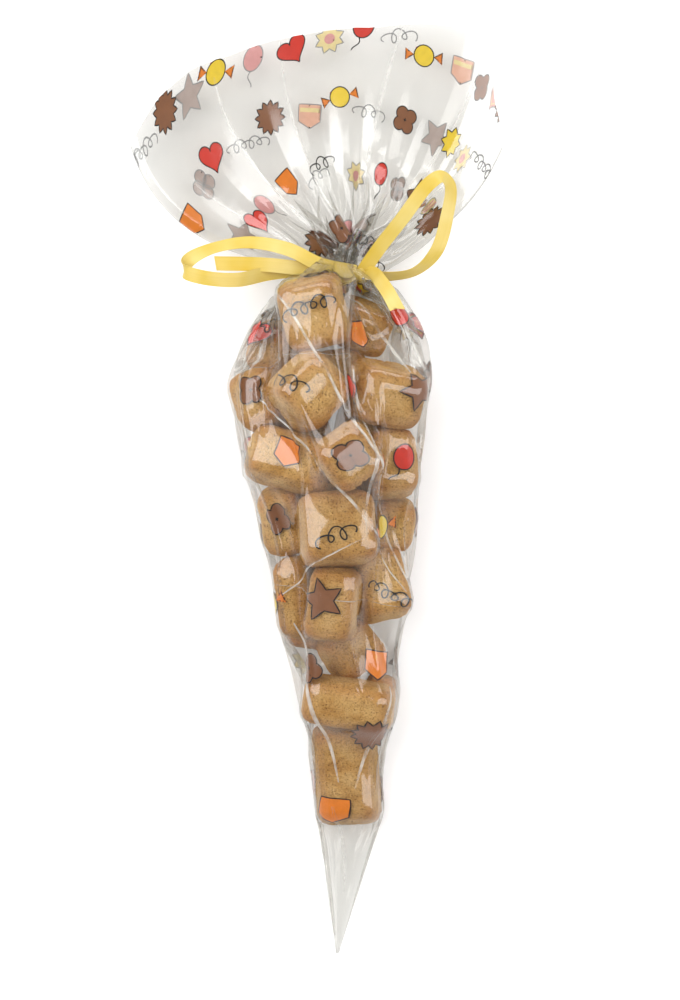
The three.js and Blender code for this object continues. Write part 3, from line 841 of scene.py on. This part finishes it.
def settledFilm():
    corners = cornersOfBiscuits()
    held = HeldOut(corners)
    grid = startGrid(corners)
    body = bodyRows(coarseRows) + 3
    grid[:body] += np.random.default_rng(3).normal(0, 0.15, grid[:body].shape)
    for number, (rounds, slackPull, bend) in enumerate(film["stages"]):
        last = number == len(film["stages"]) - 1
        grid = upsample(grid) if number else grid
        grid = relax(grid, film["quickRounds"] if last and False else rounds, held, slackPull, bend)
    return grid


def gridNormals(grid):
    around = np.roll(grid, -1, axis=1) - np.roll(grid, 1, axis=1)
    normal = np.cross(around, np.gradient(grid, axis=0))
    return normal / (np.linalg.norm(normal, axis=2)[..., None] + 1e-9)


def makeFilm(grid, material):
    rows, count = grid.shape[:2]
    piece = newPiece("film_sheet", grid.reshape(-1, 3), gridFaces(rows, count), material)
    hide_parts("film_bag")
    reach = film["tie"] + np.mean([distance for _, distance in rim])
    away = np.linspace(0, reach, 400)
    area = (sectorAt(away) * away).mean() * reach
    wide = sectorAt(reach) * reach
    print("flat film in millimetres:", round(wide), "by", round(reach))


# Points of the settled film for places on the flat one: away from the tip, and shares of the way round.
def onFilm(grid, away, shares, lift):
    rows, count = grid.shape[:2]
    body = bodyRows(coarseRows) / (coarseRows - 1) * (rows - 1)
    column = (shares * count) % count
    half = column / count * 2
    reach = rimDistance(rimTurn(np.where(half < 1, half, 2 - half)))
    inBody = body * (away - film["start"]) / (film["tie"] - film["start"])
    inFan = body + (away - film["tie"]) / reach * (rows - 1 - body)
    row = np.clip(np.where(away <= film["tie"], inBody, inFan), 0, rows - 1.001)
    r, c = row.astype(int), column.astype(int)
    u, w = (row - r)[:, None], (column - c)[:, None]
    nextColumn = (c + 1) % count

    def blend(field):
        low = field[r, c] * (1 - w) + field[r, nextColumn] * w
        high = field[r + 1, c] * (1 - w) + field[r + 1, nextColumn] * w
        return low * (1 - u) + high * u

    return blend(grid) + blend(gridNormals(grid)) * np.asarray(lift)[:, None]


glossy = {
    "smearScale": 45,
    "roughness": {"From Min": 0.3, "From Max": 0.7, "To Min": 0.07, "To Max": 0.16},
    "rippleScale": 70,
    "rippleHigh": 0.0006,
    "edgePower": 5.0,
    "edgeShare": 0.8,
    "share": 0.072,
    "haze": (0.9, 0.9, 0.88),
    "hazeShare": 0.1,
}


def filmMaterial(name, tint, ripple):
    material, tree = newMaterial(name)
    coords = objectPlace(tree)
    smears = noiseNode(tree, coords, glossy["smearScale"], 3)
    rough = makeNode(tree, "MapRange", {"Value": smears, **glossy["roughness"]}).outputs[0]
    waves = noiseNode(tree, coords, glossy["rippleScale"], 2, 0.4)
    ripples = bumpNode(tree, waves, ripple, glossy["rippleHigh"])
    gloss = makeNode(tree, "BsdfGlossy", {"Color": (1, 1, 1), "Roughness": rough, "Normal": ripples})
    clear = makeNode(tree, "BsdfTransparent", {"Color": tint})
    haze = makeNode(tree, "BsdfTranslucent", {"Color": glossy["haze"]})
    veil = blendShaders(tree, mathNode(tree, "MULTIPLY", smears, glossy["hazeShare"]), clear, haze)
    facing = makeNode(tree, "LayerWeight", {"Blend": 0.5}).outputs["Facing"]
    steep = mathNode(tree, "POWER", facing, glossy["edgePower"])
    share = mathNode(tree, "MULTIPLY_ADD", steep, glossy["edgeShare"], glossy["share"])
    shownBy(tree, blendShaders(tree, share, veil, gloss))
    return material


# Profiles are places across and heights. A crease's ends are lengths from the tip and shares round.
seam = {"profile": ((-0.9, 0.05), (-0.45, 0.65), (0.35, 0.65), (0.9, 0.05)), "share": 0.925, "steps": 320}
creasing = {"profile": ((-0.6, 0.0), (-0.1, 0.4), (0.1, 0.4), (0.7, 0.0)), "steps": 90}
creases = [
    ((244, 0.875), (122, 0.54)), ((244, 0.875), (206, 0.965)), ((207, 0.95), (210, 0.69)),
    ((208, 0.68), (150, 0.70)), ((204, 0.93), (130, 0.58)), ((150, 0.70), (128, 0.94)),
    ((134, 0.96), (124, 0.56)), ((120, 0.90), (64, 0.78)), ((98, 0.62), (62, 0.72)),
    ((236, 0.60), (190, 0.56)), ((244, 0.66), (205, 0.60)), ((274, 0.87), (344, 0.88)),
    ((272, 0.80), (346, 0.81)), ((274, 0.72), (350, 0.69)), ((270, 0.62), (350, 0.60)),
    ((272, 0.93), (322, 0.95)), ((56, 0.80), (22, 0.74)), ((290, 0.58), (330, 0.53)),
]
ridge = {"off": 0.08, "ends": 0.05, "fade": 0.4}


# A fine ridge along a line on the film.
def ridgeOn(grid, ends, steps, profile):
    away, shares = (np.linspace(a, b, steps) for a, b in zip(*ends))
    fade = np.sin(np.linspace(ridge["ends"], math.pi - ridge["ends"], steps)) ** ridge["fade"]
    points = []
    for across, lift in profile:
        places = shares + across * fade / away / sectorAt(away)
        points.append(onFilm(grid, away, places, ridge["off"] + lift * fade))
    index = np.arange(steps * len(profile)).reshape(steps, len(profile))
    faces = np.stack([index[:-1, :-1], index[:-1, 1:], index[1:, 1:], index[1:, :-1]], axis=-1)
    return np.stack(points, axis=1).reshape(-1, 3), faces.reshape(-1, 4)


# The welded edge that runs down the left of the front.
def makeSeam(grid, material):
    ends = ((film["start"] + 6, seam["share"]), (film["tie"] - 6, seam["share"]))
    points, faces = ridgeOn(grid, ends, seam["steps"], seam["profile"])
    newPiece("film_seam", points, faces, material)


# Ridges along the fold lines, drawn with a painted highlight instead of light reflected from the folds.
def makeCreases(grid, material):
    ridges = [ridgeOn(grid, ends, creasing["steps"], creasing["profile"]) for ends in creases]
    points = np.vstack([places for places, _ in ridges])
    faces = np.vstack([cells + number * len(ridges[0][0]) for number, (_, cells) in enumerate(ridges)])
    newPiece("film_creases_painted_highlight", points, faces, material)


# Opaque whitish film along the crease ridges, broken up by noise: a painted highlight where the folds would
# catch the light.
paintedCreaseHighlight = {"colour": (0.93, 0.92, 0.9), "roughness": 0.15, "scale": 130, "highlightBreaks": [(0.36, 0.08), (0.62, 0.62)]}


def creaseHighlightMaterial():
    material, tree = newMaterial("crease_painted_highlight")
    highlightBreaks = rampNode(tree, noiseNode(tree, objectPlace(tree), paintedCreaseHighlight["scale"], 3), paintedCreaseHighlight["highlightBreaks"])
    clear = makeNode(tree, "BsdfTransparent")
    bright = plainShader(tree, paintedCreaseHighlight["colour"], paintedCreaseHighlight["roughness"], {})
    shownBy(tree, blendShaders(tree, highlightBreaks, clear, bright))
    return material


# Print: small party motifs in a staggered layout

inks = {
    "black": (0.012, 0.010, 0.009),
    "brown": (0.255, 0.100, 0.040),
    "red": (0.66, 0.030, 0.012),
    "orange": (0.80, 0.22, 0.012),
    "yellow": (0.83, 0.60, 0.030),
}
printed = {
    "rowGap": 24.0,
    "columnGap": 26.0,
    "lowest": 40,
    "highest": 84,  # past the tie
    "bare": 9,  # each side of the tie
    "jitterRound": 0.13,
    "jitterAlong": 3,
    "tilt": 0.5,
    "line": 0.36,
    "curlLine": 0.42,
    "cell": 0.9,
    "scale": 1.2,
    "off": 0.12,
    "layer": 0.09,
    "behind": (0.6, 0.3),  # share of the ink's colour, and what is added to it
    "mottle": 500,
    "roughness": 0.35,
}


def inkMaterial():
    material, tree = newMaterial("print_ink")
    mottle = rampNode(tree, noiseNode(tree, objectPlace(tree), printed["mottle"], 3), [(0.3, 0.9), (0.6, 1)])
    colour = mixNode(tree, 1.0, attributeNode(tree, "ink", "Color"), mottle, "MULTIPLY")
    shownBy(tree, plainShader(tree, colour, printed["roughness"], {}))
    return material


def circleLine(radius, count=26, middle=(0, 0)):
    turns = np.arange(count) / count * 2 * math.pi
    return np.stack([middle[0] + radius * np.cos(turns), middle[1] + radius * np.sin(turns)], axis=1)


# The same closed line with a point at least every cell's width.
def densely(line):
    made = []
    for a, b in zip(line, np.roll(line, -1, axis=0)):
        steps = max(1, math.ceil(np.linalg.norm(b - a) / printed["cell"]))
        made += [a + (b - a) * k / steps for k in range(steps)]
    return np.array(made)


def starLine(outer, inner, points):
    turns = math.pi / 2 + np.arange(points * 2) / points * math.pi
    radius = np.where(np.arange(points * 2) % 2 == 0, outer, inner)
    return densely(np.stack([radius * np.cos(turns), radius * np.sin(turns)], axis=1))


def heartLine(size):
    t = np.arange(40) / 40 * 2 * math.pi
    x = 16 * np.sin(t) ** 3
    y = 13 * np.cos(t) - 5 * np.cos(2 * t) - 2 * np.cos(3 * t) - np.cos(4 * t)
    return np.stack([x, y], axis=1)[::-1] * size / 17


def boxLine(wide, high, middle=(0, 0), turn=0.0):
    corners = np.array([(-wide, -high), (wide, -high), (wide, high), (-wide, high)]) / 2
    c, s = math.cos(turn), math.sin(turn)
    return densely(corners @ np.array([(c, s), (-s, c)]) + middle)


def curlLine(length, height, curls):
    t = np.linspace(0, 1, 30 * curls)
    turn = 2 * math.pi * curls * t
    x = length * (t - 0.5) - 1.5 * np.sin(turn)
    return np.stack([x, height * -np.cos(turn) * (0.7 + 0.3 * np.cos(turn * 0.5 + 1))], axis=1)


# A flat patch cut into small cells, so that it can follow the film.
def filled(line, ink, level):
    patch = bmesh.new()
    patch.faces.new([patch.verts.new((x, y, 0)) for x, y in line])
    for column in range(2):
        reach = np.abs(line[:, column]).max()
        for cut in np.arange(-reach, reach, printed["cell"]):
            place, across = [0, 0, 0], [0, 0, 0]
            place[column], across[column] = cut, 1
            parts = patch.verts[:] + patch.edges[:] + patch.faces[:]
            bmesh.ops.bisect_plane(patch, geom=parts, plane_co=place, plane_no=across)
    bmesh.ops.triangulate(patch, faces=patch.faces[:])
    patch.verts.index_update()
    points = np.array([v.co[:2] for v in patch.verts])
    faces = [[v.index for v in f.verts] for f in patch.faces]
    patch.free()
    return points, faces, ink, level


# A line's stroke as a strip of cells.
def outlined(line, ink, level, closed=True, width=printed["line"]):
    before, after = np.roll(line, 1, axis=0), np.roll(line, -1, axis=0)
    if not closed:
        before[0], after[-1] = line[0], line[-1]
    run = after - before
    run /= np.linalg.norm(run, axis=1)[:, None] + 1e-9
    side = np.stack([run[:, 1], -run[:, 0]], axis=1)
    inner = line if closed else line - side * width / 2
    outer = inner + side * width
    count = len(line)
    cells = range(count if closed else count - 1)
    faces = [[i, count + i, count + (i + 1) % count, (i + 1) % count] for i in cells]
    return np.vstack([inner, outer]), faces, ink, level


def bordered(line, ink, border="black"):
    return [filled(line, ink, 0), outlined(line, border, 0)]


def motifs():
    star = starLine(5.6, 2.7, 5)
    heart = heartLine(4.6)
    disc = circleLine(3.0)
    stripes = [filled(boxLine(0.9, 5.2, (x, 0), 0.35), "red", 1) for x in (-1.5, 0.2)]
    wrapper = []
    for side in (-1, 1):
        fin = np.array([(side * 3.1, 0), (side * 6, side * 1.9), (side * 6, -side * 1.9)])
        wrapper += bordered(densely(fin), "orange")
    petals = starLine(4.4, 2.9, 8)
    balloon = circleLine(3.4, 30) * (0.86, 1.0) + (0, 1.6)
    string = np.stack([0.7 * np.sin(np.linspace(0, 5, 24)), np.linspace(-1.9, -6.4, 24)], axis=1)
    flag = densely(np.array([(-3.6, 2.6), (-3.6, -2.4), (0, -4.6), (3.6, -2.4), (3.6, 2.6)]))
    leaves = [circleLine(1.9, 22, (x, y)) for x in (-1.6, 1.6) for y in (-1.6, 1.6)]
    clover = [filled(leaf, "brown", 0) for leaf in leaves] + [outlined(leaf, "black", 1) for leaf in leaves]
    curlLines = (curlLine(14, 1.9, 5), curlLine(10, 2.3, 3))
    longCurl, shortCurl = (outlined(line, "black", 0, False, printed["curlLine"]) for line in curlLines)
    return [
        bordered(star, "brown"),
        bordered(heart, "red") + [outlined(heartLine(3.1), "yellow", 1)],
        bordered(disc, "yellow") + stripes + wrapper,
        [longCurl],
        bordered(petals, "yellow") + [filled(circleLine(1.6), "red", 1)],
        bordered(balloon, "red") + [outlined(string, "black", 0, closed=False)],
        bordered(flag, "orange") + [filled(boxLine(6.6, 1.3, (0, 1.0)), "yellow", 1)],
        clover,
        bordered(starLine(5.0, 3.5, 12), "brown") + [outlined(circleLine(2.1), "black", 1)],
        [shortCurl],
    ]


# A motif's parts on the film, tilted about a place, as points, faces and colours.
def stamped(grid, parts, away, share, tilt):
    c, s = math.cos(tilt), math.sin(tilt)
    kept, added = printed["behind"] if share % 1 < 0.5 else (1, 0)
    for flat, faces, ink, level in parts:
        x = -(flat[:, 0] * c - flat[:, 1] * s) * printed["scale"]
        y = (flat[:, 0] * s + flat[:, 1] * c) * printed["scale"]
        aways = np.hypot(away + y, x)
        shares = share + np.arctan2(x, away + y) / sectorAt(aways)
        lift = np.full(len(flat), printed["off"] + printed["layer"] * level)
        colour = np.array(inks[ink]) * kept + added
        yield onFilm(grid, aways, shares, lift), faces, np.tile((*colour, 1.0), (len(flat), 1))


def makePrint(grid, material):
    rng = np.random.default_rng(11)
    kinds = motifs()
    allPoints, allFaces, allInks, start = [], [], [], 0
    deck = []
    rowsOfPrint = np.arange(film["tie"] + printed["highest"], printed["lowest"], -printed["rowGap"])
    for line, away in enumerate(rowsOfPrint):
        places = max(1, round(sectorAt(away) * away / printed["columnGap"]))
        for k in range(places):
            jitter = rng.uniform(-printed["jitterRound"], printed["jitterRound"])
            share0 = (k + 0.5 * (line % 2) + 0.3 + jitter) / places
            away0 = away + rng.uniform(-printed["jitterAlong"], printed["jitterAlong"])
            tilt = rng.uniform(-printed["tilt"], printed["tilt"])
            if abs(away0 - film["tie"]) < printed["bare"]:
                continue
            if not deck:
                deck = list(rng.permutation(len(kinds)))
            for points, faces, colours in stamped(grid, kinds[deck.pop()], away0, share0, tilt):
                allPoints.append(points)
                allFaces += [[i + start for i in face] for face in faces]
                allInks.append(colours)
                start += len(points)
    piece = newPiece("film_print", np.vstack(allPoints), allFaces, material)
    colours = piece.data.color_attributes.new("ink", "FLOAT_COLOR", "POINT")
    colours.data.foreach_set("color", np.vstack(allInks).ravel().astype(np.float32))


# Ribbon: the route's stops from the tie's middle, each with the strip's width direction there

ribbon = {
    "width": 5.0,
    "thickness": 0.14,
    "steps": 90,
    "crown": 0.03,
    "cut": 0.5,
    "pointedCut": 1.6,
    "threadsAndSheen": (9, 5200, 1),
    "cloud": (60, 60, 1),
    "base": [(0.35, (0.66, 0.46, 0.05)), (0.65, (0.74, 0.58, 0.17))],
    # Lengthwise streaks that lighten the yellow with a pale bluish tint: partly thread texture, partly
    # painted sheen.
    "streak": [(0.35, (0.95, 0.94, 0.88)), (0.65, (1.03, 1.03, 1.08))],
    "roughness": 0.3,
    "sheen": 0.15,
    "bump": (0.12, 0.0001),
}
knot = {
    "turn": math.radians(62),
    "out": 6.3,
    "around": 64,
    "across": 7,
    "bandOff": 0.45,
    "rings": 14,
    "segments": 28,
    "size": (3.3, 2.7, 2.1),
}
knotAcross = knot["out"] * math.sin(knot["turn"])
knotUp = knot["out"] * math.cos(knot["turn"])
ribbonRuns = {
    "loop_left": [
        ((knotAcross - 2, 1, knotUp + 2.4), (0, 1, 0.1)),
        ((-9, 3.6, 8), (0.1, 1, -0.1)),
        ((-20, 8.8, 9), (0.1, 1, -0.25)),
        ((-34, 11.2, 9.5), (0, 0.85, -0.5)),
        ((-47, 9, 9), (-0.1, 0.8, -0.6)),
        ((-54.5, 5, 12), (-0.15, 0.9, -0.3)),
        ((-56.2, 1, 16), (-0.1, 1, 0)),
        ((-50, -1.4, 18), (0, 1, 0.1)),
        ((-38, -2.2, 15), (0, 1, 0.1)),
        ((-26, 0.6, 7.6), (0, 1, 0.05)),
        ((-14, 1.8, 6), (0, 1, 0)),
        ((knotAcross - 2.4, 0.8, knotUp + 2), (0, 1, 0)),
    ],
    "loop_right": [
        ((knotAcross, 0.6, knotUp + 0.8), (-0.6, 0.7, 0.3)),
        ((12, 9.6, knotUp + 5), (-0.7, 0.65, 0.25)),
        ((20.4, 20.2, knotUp + 8), (-0.75, 0.6, 0.25)),
        ((29, 31.4, knotUp + 9), (-0.6, 0.75, 0)),
        ((33.6, 34.2, knotUp + 8), (0, 0.85, -0.5)),
        ((36.6, 31, knotUp + 6), (0.7, 0.5, -0.5)),
        ((35.6, 21, knotUp + 5), (0.9, 0.1, -0.4)),
        ((31.6, 8, knotUp + 5), (0.9, -0.1, -0.4)),
        ((24, 1, knotUp + 4.6), (0.5, -0.4, -0.8)),
        ((12, -0.6, knotUp + 3.4), (0.05, -0.7, -0.7)),
        ((knotAcross + 1, 0, knotUp + 1), (0, -1, -0.3)),
    ],
    "tail_left": [
        ((knotAcross - 2.2, 0.8, knotUp + 2.2), (0, 1, 0)),
        ((-13, 2, 6.8), (0, 1, 0.1)),
        ((-28, 3.4, 9.5), (0, 1, 0)),
        ((-45.5, 3.8, 11), (0.05, 1, 0)),
    ],
    "tail_right": [
        ((knotAcross, 0.4, knotUp), (0.3, 1, 0.1)),
        ((9.6, 0.4, 8.6), (0.5, 0.85, 0.1)),
        ((12, -2.4, 14), (0.6, 0.75, 0.1)),
        ((15, -7, 18), (0.75, 0.6, 0.1)),
        ((17.8, -12.4, 19.6), (0.85, 0.5, 0)),
    ],
}


def ribbonMaterial():
    material, tree = newMaterial("satin_ribbon")
    strip = makeNode(tree, "UVMap", uv_map="strip").outputs[0]
    fine = makeNode(tree, "Mapping", {"Vector": strip, "Scale": ribbon["threadsAndSheen"]})
    coarse = makeNode(tree, "Mapping", {"Vector": strip, "Scale": ribbon["cloud"]})
    threadsAndSheen = noiseNode(tree, fine.outputs[0], 1.0, 3)
    shade = noiseNode(tree, coarse.outputs[0], 1.0, 2)
    base = rampNode(tree, shade, ribbon["base"])
    # The streaks multiply into the colour: thread texture with painted sheen.
    colour = mixNode(tree, 1.0, base, rampNode(tree, threadsAndSheen, ribbon["streak"]), "MULTIPLY")
    extra = {"Sheen Weight": ribbon["sheen"], "Normal": bumpNode(tree, threadsAndSheen, *ribbon["bump"])}
    shownBy(tree, plainShader(tree, colour, ribbon["roughness"], extra))
    return material


# Points along a rounded line through the stops; what is beside the first three columns goes along with them.
def smoothLine(stops, steps):
    stops = np.array(stops, float)
    gaps = np.linalg.norm(np.diff(stops[:, :3], axis=0), axis=1)
    knots = np.concatenate([[0], np.cumsum(np.sqrt(gaps))])
    padded = np.vstack([2 * stops[0] - stops[1], stops, 2 * stops[-1] - stops[-2]])
    times = np.concatenate([[2 * knots[0] - knots[1]], knots, [2 * knots[-1] - knots[-2]]])

    def between(t, i, j, a, b):
        return ((times[j] - t) * a + (t - times[i]) * b) / (times[j] - times[i])

    made = []
    for t in np.linspace(knots[0], knots[-1], steps + 1):
        k = int(np.clip(np.searchsorted(knots, t, side="right") - 1, 0, len(stops) - 2))
        p = padded[k:k + 4]
        a1, a2, a3 = (between(t, k + i, k + i + 1, p[i], p[i + 1]) for i in range(3))
        b1, b2 = between(t, k, k + 2, a1, a2), between(t, k + 1, k + 3, a2, a3)
        made.append(between(t, k + 1, k + 2, b1, b2))
    return np.array(made)


# The texture runs along the strip, in metres; a cut slants the last section.
def ribbonStrip(name, stops, material, cut):
    steps = ribbon["steps"]
    halfWide, halfThick = ribbon["width"] / 2, ribbon["thickness"] / 2
    line = smoothLine([(*p, *w) for p, w in stops], steps)
    middle, width = line[:, :3], line[:, 3:]
    run = np.gradient(middle, axis=0)
    run /= np.linalg.norm(run, axis=1)[:, None]
    width -= run * (width * run).sum(axis=1)[:, None]
    width /= np.linalg.norm(width, axis=1)[:, None]
    up = np.cross(run, width)
    length = np.concatenate([[0], np.cumsum(np.linalg.norm(np.diff(middle, axis=0), axis=1))])
    sideways = width * halfWide
    sideways[-1] += run[-1] * cut
    sides = np.array([-1, -0.6, 0, 0.6, 1])
    across = np.concatenate([sides, sides[::-1]])
    rise = ribbon["crown"] * (1 - across**2) + np.repeat([halfThick, -halfThick], len(sides))
    rings = middle[:, None] + sideways[:, None] * across[:, None] + up[:, None] * rise[:, None]
    ring = len(across)
    faces = gridFaces(steps + 1, ring).tolist()
    faces += [range(ring)[::-1], range(steps * ring, steps * ring + ring)]
    piece = newPiece("ribbon_" + name, rings.reshape(-1, 3) + tie["place"], faces, material)
    piece.data.set_sharp_from_angle(angle=math.radians(50))
    uv = piece.data.uv_layers.new(name="strip")
    for loop in piece.data.loops:
        k, i = divmod(loop.vertex_index, ring)
        uv.data[loop.index].uv = (length[k] / perMetre, across[i] * halfWide / perMetre)


# The band round the gathers, and the flat knot that the loops and tails leave.
def makeKnot(material):
    around, across = knot["around"], knot["across"]
    turns = np.arange(around) / around * 2 * math.pi
    turn, share = np.meshgrid(turns, np.linspace(-1, 1, across), indexing="ij")
    radius = tie["radius"] + knot["bandOff"] + 0.12 * (2 - share**2) + 0.05 * np.sin(9 * turn + 2 * share)
    along = share * ribbon["width"] / 2 + 0.35 * np.sin(turn)
    band = np.stack([radius * np.sin(turn), along, radius * np.cos(turn)], axis=-1).reshape(-1, 3)
    index = np.arange(around * across).reshape(around, across)
    ahead = np.roll(index, -1, axis=0)
    bandFaces = np.stack([index[:, :-1], ahead[:, :-1], ahead[:, 1:], index[:, 1:]], axis=-1).reshape(-1, 4)
    rings, segments = knot["rings"], knot["segments"]
    polars = np.arange(rings + 1) / rings * math.pi
    polar, spin = np.meshgrid(polars, np.arange(segments) / segments * 2 * math.pi, indexing="ij")
    fold = 1 + 0.09 * np.sin(3 * spin + 1) + 0.06 * np.sin(7 * polar)
    x = knot["size"][0] * np.sin(polar) * np.cos(spin) * fold
    y = knot["size"][1] * np.sin(polar) * np.sin(spin) * fold
    z = knot["size"][2] * np.cos(polar) * fold
    c, s = math.cos(knot["turn"]), math.sin(knot["turn"])
    body = np.stack([knotAcross + x * c + z * s, y, knotUp + z * c - x * s], axis=-1).reshape(-1, 3)
    bodyFaces = len(band) + gridFaces(rings + 1, segments)[:, [0, 3, 2, 1]]
    points = np.vstack([band, body]) + tie["place"]
    piece = newPiece("ribbon_knot", points, np.vstack([bandFaces, bodyFaces]), material)
    weld(piece.data)
    uv = piece.data.uv_layers.new(name="strip")
    for loop in piece.data.loops:
        co = piece.data.vertices[loop.vertex_index].co
        uv.data[loop.index].uv = (co.x + co.z, co.y)
    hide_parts("ribbon")


makeCamera()
for lampName, lampFacts in lamps.items():
    makeLamp(lampName, lampFacts)
makeWorld()
makeFloor()
bpy.context.scene.view_settings.view_transform = "Standard"
bpy.context.scene.cycles.transparent_max_bounces = 96
print("stage made")

yellow = ribbonMaterial()
for runName, runStops in ribbonRuns.items():
    ribbonStrip(runName, runStops, yellow, ribbon["pointedCut" if runName == "tail_right" else "cut"])
makeKnot(yellow)
print("ribbon made")

crumb = bakedMaterial()
for biscuitIndex, biscuitNode in enumerate(biscuitNodes):
    makeBiscuit(biscuitNode, biscuitIndex, crumb)
print("biscuits made")

filmGrid = settledFilm()
makeFilm(filmGrid, filmMaterial("clear_film", (0.893, 0.889, 0.875), 0.22))
makeSeam(filmGrid, filmMaterial("seam_film", (0.87, 0.86, 0.84), 0.1))
makeCreases(filmGrid, creaseHighlightMaterial())
print("film made")

makePrint(filmGrid, inkMaterial())
print("print made")

boxes = {"cad": cadBox, "visual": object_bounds()}
{name: [list(corner) for corner in box] for name, box in boxes.items()}
